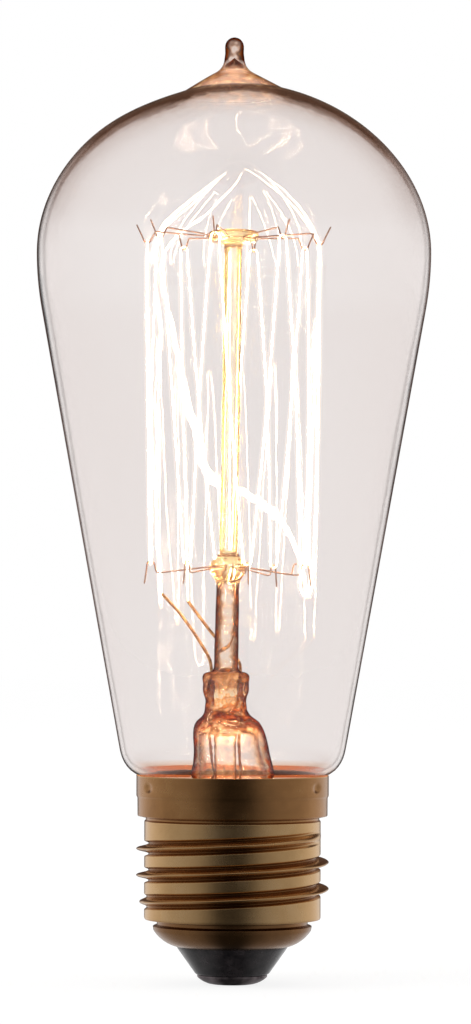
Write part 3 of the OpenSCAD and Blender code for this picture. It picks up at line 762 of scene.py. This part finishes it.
stem_nodes = ("stem_flare", "stem_press", "exhaust_tube", "stem_rod", "lower_bead", "arbor_rod", "top_button")
dress(stem, stem_glass, "stem_glass", *stem_nodes)
print("share of light left through the rod:", share_left(stem_tint, stem_per_mm, rod_width))

# %% [markdown]
# ## Wires
# A wire is a circle carried along a route. A curve with a bevel could do it, but here the circle's two
# directions are a fixed direction made square to the route and the cross product of the two, which cannot
# twist. Cut ends are rounded over the last radius of the wire.

# %% Wire helper


def unit(v):
    """Vectors of length 1."""
    return v / np.linalg.norm(v, axis=-1, keepdims=True)


def wire(name, route, radius, sides, step, fixed=(0.31, 0.87, 0.38)):
    """Point plus radius times cosine and sine of two directions square to the heading.

    The first is the fixed direction with its part along the heading taken out. Where fixed is None, it
    is the direction outwards from the lamp's axis.
    """
    route = even(route, step)
    heading = unit(np.gradient(route, axis=0))
    run = np.arange(len(route)) * step
    inner = (run > radius) & (run < run[-1] - radius)
    rise = np.radians([75, 50, 25])
    back = radius * (1 - np.sin(rise))[:, None]
    first, last = route[0] + heading[0] * back, (route[-1] - heading[-1] * back)[::-1]
    route_all = np.vstack([first, route[inner], last])
    heading_all = np.vstack([heading[:1].repeat(3, 0), heading[inner], heading[-1:].repeat(3, 0)])
    size = np.concatenate([radius * np.cos(rise), np.full(inner.sum(), radius), radius * np.cos(rise)[::-1]])
    fixed = route_all * [1, 1, 0] if fixed is None else np.array(fixed, float)
    side = unit(fixed - (fixed * heading_all).sum(1, keepdims=True) * heading_all)
    other = np.cross(heading_all, side)
    turn = round_angles(sides)[:, None]
    ring = np.cos(turn) * side[:, None] + np.sin(turn) * other[:, None]
    grid = route_all[:, None] + size[:, None, None] * ring
    return make_piece(name, grid, start=route[0], end=route[-1])


print("a direction of length 1:", unit(np.array([3, 4])))

# %% [markdown]
# ## Places in the lamp
# Hooks and wires stand round the rod, so their places are a radius, an azimuth from the front and a
# height. The rod leans, and all that it carries leans with it.

# %% Places round the rod


def at(r, az, z):
    """A point at a radius, an azimuth in degrees from the front, and a height."""
    az = np.radians(az)
    return np.stack(np.broadcast_arrays(r * np.sin(az), -r * np.cos(az), z), axis=-1).astype(float)


def on_rod(p):
    """From the leaning rod's own frame, which starts at the top of the press, to the lamp's."""
    p = np.asarray(p, float)
    x = press_x + p[..., 0] * np.cos(rod_lean) + p[..., 2] * np.sin(rod_lean)
    z = press_z + p[..., 2] * np.cos(rod_lean) - p[..., 0] * np.sin(rod_lean)
    return np.stack([x, p[..., 1], z], axis=-1)


print("the rod's top is at", np.round(on_rod((0, 0, 60.8)), 2))

# %% [markdown]
# ## Grained finishes
# The hooks are hard, dark molybdenum wire, the inner leads are nickel browned by heat, with the filament's
# warm light painted into their golden colour, and those through the press are sheathed in copper that turns
# red where glass wets it. On each, one fine grain goes with colour, shine and relief, because dirt stays in
# the hollows. Black glass, solder and cement use the same function further down.

# %% Metal wires


def grained(name, size_mm, detail, stops, shine, depth_mm, **values):
    """One noise sets the colour by its ramp, the relief, and the roughness, which goes from the third
    to the fourth number of shine while the noise goes from the first to the second.
    """
    material, tree, shader = new_material(name, **values)
    grain = noise(add(tree, "TexCoord").outputs["Object"], size_mm, detail)
    connect(shader, Base_Color=ramp(grain, stops))
    if shine is not None:
        connect(shader, Roughness=remap(grain, *shine))
    bumped(shader, grain, depth_mm)
    return material


def drawn_wire(name, dark, light, rough):
    """A drawn metal whose colour runs between two shades."""
    shine = (0, 1, rough - 0.08, rough + 0.12)
    return grained(name, 0.5, 4, [(0.35, dark), (0.65, light)], shine, 0.01, Metallic=1)


hook_metal = drawn_wire("drawn_hook_wire", (0.34, 0.18, 0.13), (0.7, 0.45, 0.33), 0.42)
# The leads' golden light shade is partly painted light from the filament, on nickel browned by heat.
lead_metal = drawn_wire("browned_and_lit_nickel", (0.28, 0.12, 0.045), (0.85, 0.5, 0.22), 0.35)
seal_metal = drawn_wire("copper_sheath", (0.22, 0.05, 0.02), (0.5, 0.15, 0.06), 0.38)
print("wire finishes:", hook_metal.name, lead_metal.name, seal_metal.name)

# %% [markdown]
# ## The hooks
# Each hook leaves the glass, runs straight outwards and ends in a small V that keeps the filament from
# sliding along it. The upper V is open at the top, and the lower one is upside down. One side view does
# for every hook of a ring, turned to each azimuth.

# %% Upper and lower hooks
upper_az = np.array([270, 302.5, 348, 394, 443, 483, 526, 575.5])
lower_az = np.array([286, 330, 373.7, 418.5, 463, 504.5, 547])
button_up, bead_up, wire_r = 59.9, 14.4, 0.11
upper_side = [
    (2.05, 0), (3.45, 0), (9.4, 0.45), (10.8, 0.55), (11.25, -0.3), (11.55, -0.95), (12.3, -0.95),
    (12.75, 0.1), (13.45, 1.5),
]
lower_side = [
    (1.25, 0), (2.65, 0), (9.6, -0.95), (10.2, -0.85), (10.45, 0.2), (10.62, 0.5), (11.38, 0.5),
    (11.5, 0.2), (11.6, -0.8), (11.85, -2.5),
]
hook_rings = (("upper", upper_az, upper_side, button_up), ("lower", lower_az, lower_side, bead_up))
for word, azimuths, side_view, up in hook_rings:
    line = soften(side_view, 0.06, 0.12)
    for number, az in enumerate(azimuths, 1):
        route = on_rod(at(line[:, 0], az, up + line[:, 1]))
        across = (np.cos(np.radians(az)), np.sin(np.radians(az)), 0)
        hook = wire(f"{word}_wire_hook_{number}", route, wire_r, 10, 0.1, across)
        dress(hook, hook_metal, "hook_wire", f"{word}_hook_{number}")
note(hook)

# %% [markdown]
# ## The filament's route
# The filament is a hair-thin wire wound into a coil as fine as sewing thread. It goes from the first lead
# over each upper hook and under each lower hook to the second lead. Every turn is half a circle, and
# every run between two turns bows, as a slack thread does. One loop has slipped off its hook and hangs
# free, and one run bows inwards.

# %% Filament route
thread_r, turn_r = 0.25, 0.56
drop = wire_r + thread_r - turn_r
lead_tips = (at(12, 231, 10.7), at(12, 568, 9.7))
loose_turn, inward_run = 8, 14


def half_turn(r, az, z, radius, way):
    """Half a circle in the upright plane square to the radius, over a hook or under it."""
    angle = np.linspace(0, np.pi, 13)[:, None]
    across = np.array([np.cos(np.radians(az)), np.sin(np.radians(az)), 0])
    return at(r, az, z) + radius * (-np.cos(angle) * across + way * np.sin(angle) * np.array([0, 0, 1]))


def bowed(p, q, number):
    """A straight run from p to q plus half a sine wave of slack, outwards and sideways."""
    out = unit(((p + q) / 2) * [1, 1, 0])
    outwards, aside = 0.3 + 0.25 * np.sin(np.radians(137 * number)), 0.3 * np.cos(np.radians(97 * number))
    if number == inward_run:
        outwards, aside = -0.7, -0.2
    slack = outwards * out + aside * np.cross([0, 0, 1], out)
    t = np.linspace(0, 1, 31)[1:-1, None]
    return p + t * (q - p) + np.sin(np.pi * t) * slack


turns = [lead_tips[0][None]]
for number in range(1, 16):
    hook_number = (number - 1) // 2
    if number % 2:
        turns.append(half_turn(11.93, upper_az[hook_number], button_up - 0.95 + drop, turn_r, 1))
    elif number == loose_turn:
        turns.append(half_turn(12.5, lower_az[hook_number], bead_up - 2.3, 1.6, -1))
    else:
        turns.append(half_turn(11, lower_az[hook_number], bead_up + 0.5 - drop, turn_r, -1))
turns.append(lead_tips[1][None])
runs = [turns[0]]
for number in range(1, len(turns)):
    runs += [bowed(turns[number - 1][-1], turns[number][0], number), turns[number]]
thread_route = on_rod(np.vstack(runs))
thread_length = np.linalg.norm(np.diff(thread_route, axis=0), axis=1).sum()
print("filament length in mm:", round(thread_length))

# %% [markdown]
# ## The lit filament
# The hooks draw heat away, so the thread is darker and redder near them. That is one number for each point,
# kept on the mesh, where a finish can read it. Mirrored rays see the thread 1 + mirror_gain times as bright,
# so that the curls that the crown mirrors twice still show. A clear, faintly glowing sheath round it is
# painted light, a halo that stands in for the glow round the coil.

# %% Filament piece


def keep(piece, word, values):
    """Keeps one number for each point of a piece under a word."""
    kept = piece.data.attributes.new(word, "FLOAT", "POINT").data
    kept.foreach_set("value", values.astype(np.float32).ravel())


def kept_number(tree, word):
    """The number kept under a word, at the point that is being coloured."""
    node = add(tree, "Attribute")
    node.attribute_name = word
    return node.outputs["Fac"]


core_r, sides, mirror_gain = 0.07, 8, 1.2
thread = wire("glowing_thread", thread_route, core_r, sides, 0.22, fixed=None)
touch = on_rod(np.array([turn[len(turn) // 2] for n, turn in enumerate(turns) if n != loose_turn]))
spots = np.empty(len(thread.data.vertices) * 3)
thread.data.vertices.foreach_get("co", spots)
spots = spots.reshape(-1, 3) / mm
from_hook = np.linalg.norm(spots[:, None] - touch[None], axis=2).min(axis=1)
keep(thread, "warmth", 1 - 0.75 * np.exp(-((from_hook / 0.9) ** 2)))
dark_thread = (0.5, 0.42, 0.35, 1)
glow, tree, shader = new_material("lit_thread", Roughness=0.6, Emission_Strength=36, Base_Color=dark_thread)
warm = [(0.2, (0.2, 0.06, 0.015)), (0.6, (0.6, 0.4, 0.22)), (1, (1, 0.8, 0.55))]
stronger = add(tree, "VectorMath", ramp(kept_number(tree, "warmth"), warm))
stronger.operation = "SCALE"
in_mirror = calculate("MULTIPLY", add(tree, "LightPath").outputs["Is Glossy Ray"], mirror_gain)
connect(stronger, Scale=calculate("ADD", in_mirror, 1))
connect(shader, Emission_Color=stronger.outputs[0])
dress(thread, glow, "glowing_thread", "filament")
rings = spots[:-2].reshape(-1, sides, 3)
middle = rings.mean(axis=1, keepdims=True)
ring_gap = from_hook[:-2].reshape(-1, sides).mean(axis=1)
wide = np.interp(ring_gap, [0.7, 3], [0.2, 0.4])[:, None, None]
sheath_grid = middle + (rings - middle) * wide / core_r
# Painted light: a clear sheath with a faint glow of its own makes a halo round the coil.
sheath = make_piece("coil_glow", sheath_grid, start=thread_route[0], end=thread_route[-1])
painted_halo = bpy.data.materials.new("coil_painted_halo")
painted_halo.use_nodes = True
tree = painted_halo.node_tree
tree.nodes.clear()
faint = add(tree, "Emission", (1, 0.86, 0.6, 1), 0.08).outputs[0]
clear_and_lit = add(tree, "AddShader", add(tree, "BsdfTransparent").outputs[0], faint)
add(tree, "OutputMaterial", clear_and_lit.outputs[0])
dress(sheath, painted_halo, "glowing_thread", "filament")
note(thread)

# %% [markdown]
# ## The lead wires
# Each lead is three wires welded end to end: nickel above the press, copper-sheathed wire through the
# glass, and copper below. The nickel ones are bent outwards to where the filament starts and ends.

# %% Inner leads
wire_gap, seal_top, seal_bottom = 1.95, -1.2, -6.2
nickel_r, copper_r, knot_r = 0.22, 0.2, 0.1
inner_routes = [
    [(-wire_gap, 0, seal_top), (-wire_gap, 0, 0), (-2.15, 0.3, 1.5), (-2.8, 1.1, 2.7), (-4.4, 3.1, 5.1),
     (-6.6, 5.3, 8)],
    [(wire_gap, 0, seal_top), (wire_gap, 0, 0), (2, 0.8, 1), (1.2, 2.6, 2.3), (-0.2, 4.3, 3.5),
     (-1.6, 5.8, 4.7), (-3.5, 8.1, 7)],
]
for number, (route, tip) in enumerate(zip(inner_routes, lead_tips), 1):
    line = on_rod(soften(np.vstack([route, tip]), 0.12, 0.5))
    lead = wire(f"nickel_lead_{number}", line, nickel_r, 12, 0.15)
    dress(lead, lead_metal, "nickel_wire", f"inner_lead_{number}")
note(lead)

# %% [markdown]
# A weld shows as a small knot, so each sealed wire is a turned shape that is a little thicker at both
# ends. Below the press one copper wire goes over the glass to the rim of the cap, and the other goes
# down the middle to the end contact.

# %% Sealed wires and outer leads
z = np.linspace(seal_bottom, seal_top, 41)
weld = np.exp(-(((z - seal_bottom) / 0.3) ** 2)) + np.exp(-(((z - seal_top) / 0.3) ** 2))
knotted = turned(np.stack([nickel_r + knot_r * weld, z], axis=1), 14)
for number, x in ((1, -wire_gap), (2, wire_gap)):
    ends = [on_rod((x, 0, end)) for end in (z[0], z[-1])]
    seal = make_piece(f"sealed_wire_{number}", on_rod(knotted + [x, 0, 0]), *ends)
    dress(seal, seal_metal, "copper_wire", f"seal_wire_{number}")
side_route = [
    (-2.85, 0, 32), (-2.75, 0.3, 29), (-2.2, 1.6, 26.2), (-1, 4.6, 24), (0, 8.6, 23.45), (0, 11.4, 23.45),
    (0, 12.08, 23.5), (0, 12.34, 23.75), (0, 12.42, 24.2), (0, 12.42, 27.4),
]
centre_route = [
    (1, 0, 31.5), (1.15, 0, 27), (1.15, 0, 20), (0.95, 0, 14.5), (0.35, 0, 10.5), (0, 0, 8), (0, 0, 4),
    (0, 0, 0.8),
]
for word, x, free in (("side", -wire_gap, side_route), ("centre", wire_gap, centre_route)):
    grip = on_rod([(x, 0, seal_bottom), (x, 0, -8.6)])
    line = soften(np.vstack([grip, free]), 0.15, 0.25)
    lead = wire(f"copper_lead_{word}", line, copper_r, 10, 0.2)
    dress(lead, seal_metal, "copper_wire", f"outer_lead_{word}")
note(lead)

# %% [markdown]
# ## The rolled thread
# The cap is thin sheet brass, rolled between dies that raise the thread. A Screw modifier on a profile
# would leave the thread's ends in the air. Here the radius of every point comes from its height above the
# nearest turn of the helix, by one table for the outside of the sheet and one for its inside.

# %% Thread profile
pitch, crest_r, land_r, land_inside = 3.629, 13.2, 12.1, 11.75
thread_low, thread_high, helix_start = 9, 22.1, 5.8
heights = np.linspace(-pitch / 2, pitch / 2, 364)
reach, fine, round_off = 24, 0.01, 0.07
bell = np.exp(-0.5 * (np.arange(-reach, reach + 1) * fine / round_off) ** 2)
bell /= bell.sum()


def rolled(places, radii):
    """Radius against height above the crest, straight between the given places, then softened."""
    raw = np.interp(heights, places, radii)
    return np.convolve(np.concatenate([raw[-reach:], raw, raw[:reach]]), bell, "valid")


outer_places = [-1, -0.84, -0.6, -0.27, 0, 0.27, 0.6, 0.84, 1]
outer_roll = rolled(outer_places, [land_r, 11.5, 11.5, 12.95, 13.28, 12.95, 11.5, 11.5, land_r])
inner_places = [-1.2, -1, -0.42, 0, 0.42, 1, 1.2]
inner_roll = rolled(inner_places, [land_inside, 11.15, 11.15, 12.65, 11.15, 11.15, land_inside])
print("thread crest in mm:", round(outer_roll.max(), 2))

# %% [markdown]
# ## The cap's sheet
# The outline is a bowl below the thread and a plain skirt above it, outside and inside. The thread fades out
# at both ends, and three dents key the skirt into the cement. The inside of the rim gets painted light, a
# glow in the bulb's colour, and how much is kept as a number too.

# %% Cap shape
run_in, fade_over = 1.8, 0.8
dent_z, dent_r, dent_depth = 27, 0.62, 0.28


def threaded(r, z, angle, table, flat):
    """Adds the thread to a radius: the table is read at the height above the nearest turn."""
    turns_up = (z - helix_start) / pitch - angle / (2 * np.pi)
    above = (turns_up - np.round(turns_up)) * pitch
    crest = z - above
    rise = np.minimum((crest - thread_low - run_in) / fade_over, (thread_high - run_in - crest) / fade_over)
    return r + np.clip(rise, 0, 1) * (np.interp(above, heights, table) - flat)


bowl_line = arc((7.7, 5.15), (10.8, 7.35), 43)
groove_line = [(10.9, 7.95), (10.35, 8.15), (10.3, 8.7), (12, 8.85), (12.1, 9.1)]
skirt_line = [
    (12.1, 22.1), (12.1, 22.3), (11.9, 22.45), (11.9, 22.75), (13.03, 23), (13.05, 25.5), (13.2, 25.75),
    (13.2, 28.5),
]
cap_out = soften(np.vstack([bowl_line, groove_line, skirt_line]), 0.07, 0.07)
bowl_in = [(7.5, 5.45), (9.2, 6.25), (10.45, 7.5), (9.95, 8), (9.95, 9.05), (11.65, 9.2), (11.75, 9.5)]
skirt_in = [
    (11.75, 22), (11.6, 22.4), (11.6, 23), (12.68, 23.25), (12.7, 25.6), (12.85, 25.85),
    (12.85, 28.42), (13, 28.5),
]
cap_in = soften(skirt_in[::-1] + bowl_in[::-1], 0.12, 0.07)
angle = round_angles(156)
halves, lit = [], []
for line, table, flat, is_inside in ((cap_out, outer_roll, land_r, 0), (cap_in, inner_roll, land_inside, 1)):
    r, z = line[:, :1] + 0 * angle, line[:, 1:] + 0 * angle
    in_thread = (z > thread_low) & (z < thread_high)
    r = np.where(in_thread, threaded(r, z, angle, table, flat), r)
    for az in np.radians([60, 205, 300]):
        off = np.angle(np.exp(1j * (angle - (az - np.pi / 2))))
        away = np.hypot(crest_r * off, z - dent_z)
        r = r - dent_depth * np.exp(-((away / dent_r) ** 4)) * (z > 25)
    halves.append(np.stack([r * np.cos(angle), r * np.sin(angle), z], axis=-1))
    # Painted light: how much the inside of the sheet glows, rising above 26 mm.
    lit.append(np.clip((z - 26) / 0.6, 0, 1) * is_inside)
cap_grid = np.concatenate(halves)
cap = make_piece("brass_cap", cap_grid, ring=True)
keep(cap, "lit_inside", np.concatenate(lit))
note(cap)

# %% [markdown]
# ## Browned brass
# Old brass is brown in the hollows, where dirt and lacquer stay, and yellower on the crests and the rim,
# where hands and lampholders rub it. How exposed each point is comes from its radius against the land
# round it. Rolling left fine lines round the cap, so one noise is squeezed upright.

# %% Brass material
radius = np.hypot(cap_grid[..., 0], cap_grid[..., 1])
height = cap_grid[..., 2]
level = np.where(height < 9, 11, np.where(height < 22.3, 12.1, 13))
on_thread = np.interp(radius - level, [-0.5, -0.35, -0.05, 0.05, 0.4, 1.1], [0.15, 0.35, 0.7, 0.7, 0.5, 0.5])
exposed = np.where(height > 22.3, 0.3 + 0.4 * (height > 28.4), np.where(height < 8.8, 0.08, on_thread))
keep(cap, "exposed", exposed)
# Painted light: the inside of the rim glows in the bulb's orange, as strongly as lit_inside says.
bulb_light = (1, 0.36, 0.13, 1)
old_brass, tree, shader = new_material("browned_brass", Metallic=1, Emission_Color=bulb_light)
connect(shader, Emission_Strength=calculate("MULTIPLY", kept_number(tree, "lit_inside"), 0.6))
place = add(tree, "TexCoord").outputs["Object"]
blotches = noise(place, 5, 5, Roughness=0.62)
squeeze = add(tree, "Mapping", place, Scale=(60, 60, 3200))
lines = add(tree, "TexNoise", squeeze.outputs[0], Scale=1, Detail=3)
rubbed = calculate("ADD", kept_number(tree, "exposed"), remap(blotches, 0, 1, -0.2, 0.2))
browns = [
    (0, (0.2, 0.1, 0.045)), (0.3, (0.41, 0.205, 0.08)), (0.7, (0.66, 0.41, 0.19)),
    (1, (0.82, 0.58, 0.34)),
]
connect(shader, Base_Color=ramp(rubbed, browns), Roughness=remap(blotches, 0.3, 0.7, 0.16, 0.32))
relief = calculate("ADD", lines.outputs["Fac"], noise(place, 0.35, 3))
bumped(shader, relief, 0.006)
dress(cap, old_brass, "old_brass", "cap_shell")
print("exposed metal, least and most:", round(float(exposed.min()), 2), round(float(exposed.max()), 2))

# %% [markdown]
# ## The black glass insulator
# Black glass is poured into the foot of the cap and pressed to a cone, which holds the end contact away
# from the brass. It is shiny, with faint flow marks and a few pits.

# %% Insulator
foot_line = [(0.82, 0.55), (2.6, 0.35), (4.3, 1), (4.79, 1.32), (5.08, 1.45), (7.4, 4.75), (7.62, 5.1)]
top_line = [
    (7.5, 5.42), (9.1, 6.3), (10.2, 7.4), (9.8, 7.9), (9.8, 8.4), (4.5, 7.2), (0.82, 7), (0.82, 0.55),
]
cone_outline = soften(foot_line + top_line, 0.12, 0.08, closed=True)
insulator = make_piece("black_glass_cone", turned(cone_outline, 120), ring=True)
blacks = [(0.3, (0.006, 0.005, 0.006)), (0.8, (0.035, 0.028, 0.03))]
shine = (0.3, 0.7, 0.1, 0.3)
black_glass = grained("poured_black_glass", 1.6, 5, blacks, shine, 0.05, Specular_IOR_Level=0.5)
dress(insulator, black_glass, "black_glass", "cap_insulator")
note(insulator)

# %% [markdown]
# ## The end contact
# The contact is a small dished plate of tinned brass, scuffed in rings by the springs of lampholders. Its
# dark colour is painted shade of its downward face, with stains in a varying tone. The lead comes through its
# middle and ends in solder.

# %% End contact
plate_line = np.vstack([[(0.8, 0)], arc((2.6, 0), (4.8, 1), 40), [(4.8, 1.3)]])
plate_face = soften(plate_line, 0.08, 0.06)
plate_out = np.vstack([plate_face, inset(plate_face, 0.3)[::-1]])
plate_out[:, 1] = np.clip(plate_out[:, 1], 0, 1.3)
plate = make_piece("end_contact_plate", turned(plate_out, 96), ring=True)
tinned, tree, shader = new_material("scuffed_tin_painted_dark", Metallic=1)
place = add(tree, "TexCoord").outputs["Object"]
scuffs = add(tree, "TexWave", place, Scale=420, Distortion=2.5, Detail=2)
scuffs.wave_type, scuffs.rings_direction = "RINGS", "Z"
stains = noise(place, 1.2, 5)
# The tin's two greys are painted dark, the shade of the plate's downward face.
tin_in_painted_shade = [(0.3, (0.09, 0.07, 0.075)), (0.7, (0.34, 0.29, 0.3))]
connect(shader, Base_Color=ramp(stains, tin_in_painted_shade), Roughness=remap(stains, 0, 1, 0.28, 0.55))
bumped(shader, scuffs.outputs["Fac"], 0.012)
dress(plate, tinned, "tinned_plate", "centre_contact")
note(plate)

# %% [markdown]
# ## Solder
# Solder sets as a smooth lump with a frosted skin. Each joint is a ball of two angles with slow waves.
# The one at the back of the rim comes out of the notch for the side lead, and the one in the end contact
# is ground almost flat.

# %% Solder joints
greyish = [(0.3, (0.3, 0.3, 0.31)), (0.7, (0.6, 0.6, 0.62))]
solder = grained("frosted_solder", 0.18, 4, greyish, (0, 1, 0.3, 0.55), 0.02, Metallic=1)


def lump(name, node, middle, sizes, lowest):
    """A ball of two angles with a slow wave, squeezed to three half sizes, flat at the lowest height."""
    up = np.radians(np.linspace(-86, 86, 30))[:, None]
    around = round_angles(40)
    swell = 1 - 0.05 * (1 + np.sin(3 * around + 4 * up)) / 2
    round_ball = [np.cos(up) * np.cos(around), np.cos(up) * np.sin(around), np.sin(up) + 0 * around]
    grid = np.array(middle) + np.stack(round_ball, axis=-1) * swell[..., None] * np.array(sizes)
    poles = [np.array(middle) + np.array([0, 0, way * 0.97 * sizes[2]]) for way in (-1, 1)]
    grid[..., 2] = np.maximum(grid[..., 2], lowest)
    poles[0][2] = max(poles[0][2], lowest)
    piece = make_piece(name, grid, *poles)
    dress(piece, solder, "solder", node)
    return piece


note(lump("rim_solder", "side_solder", (0, 12.75, 27.5), (0.56, 0.64, 0.56), 24))
note(lump("end_solder", "centre_solder", (0, 0, 0.4), (0.79, 0.79, 0.4), 0.02))

# %% [markdown]
# ## Cement
# A baked cement fills the gap between the glass neck and the skirt. Only its top shows just below the
# rim, so it is a turned ring whose top is raised and lowered by slow waves.

# %% Cement ring
ring_line = [
    (12.14, 24.1), (12.66, 24.1), (12.66, 25.5), (12.8, 25.9), (12.8, 27.1), (12.5, 27.3), (12.14, 27.2),
    (12.14, 24.1),
]
ring_grid = turned(soften(ring_line, 0.12, 0.08, closed=True), 200)
angle = round_angles(200)
waves = 0.06 * np.sin(7 * angle) + 0.05 * np.sin(17 * angle + 1) + 0.03 * np.sin(41 * angle)
ring_grid[..., 2] += waves * np.clip((ring_grid[..., 2] - 26.5) / 0.8, 0, 1) - 0.04
cement = make_piece("cement_band", ring_grid, ring=True)
sands = [(0.3, (0.3, 0.2, 0.12)), (0.7, (0.62, 0.5, 0.36))]
dress(cement, grained("baked_cement", 0.25, 6, sands, None, 0.05, Roughness=0.9), "cement", "cement_ring")
note(cement)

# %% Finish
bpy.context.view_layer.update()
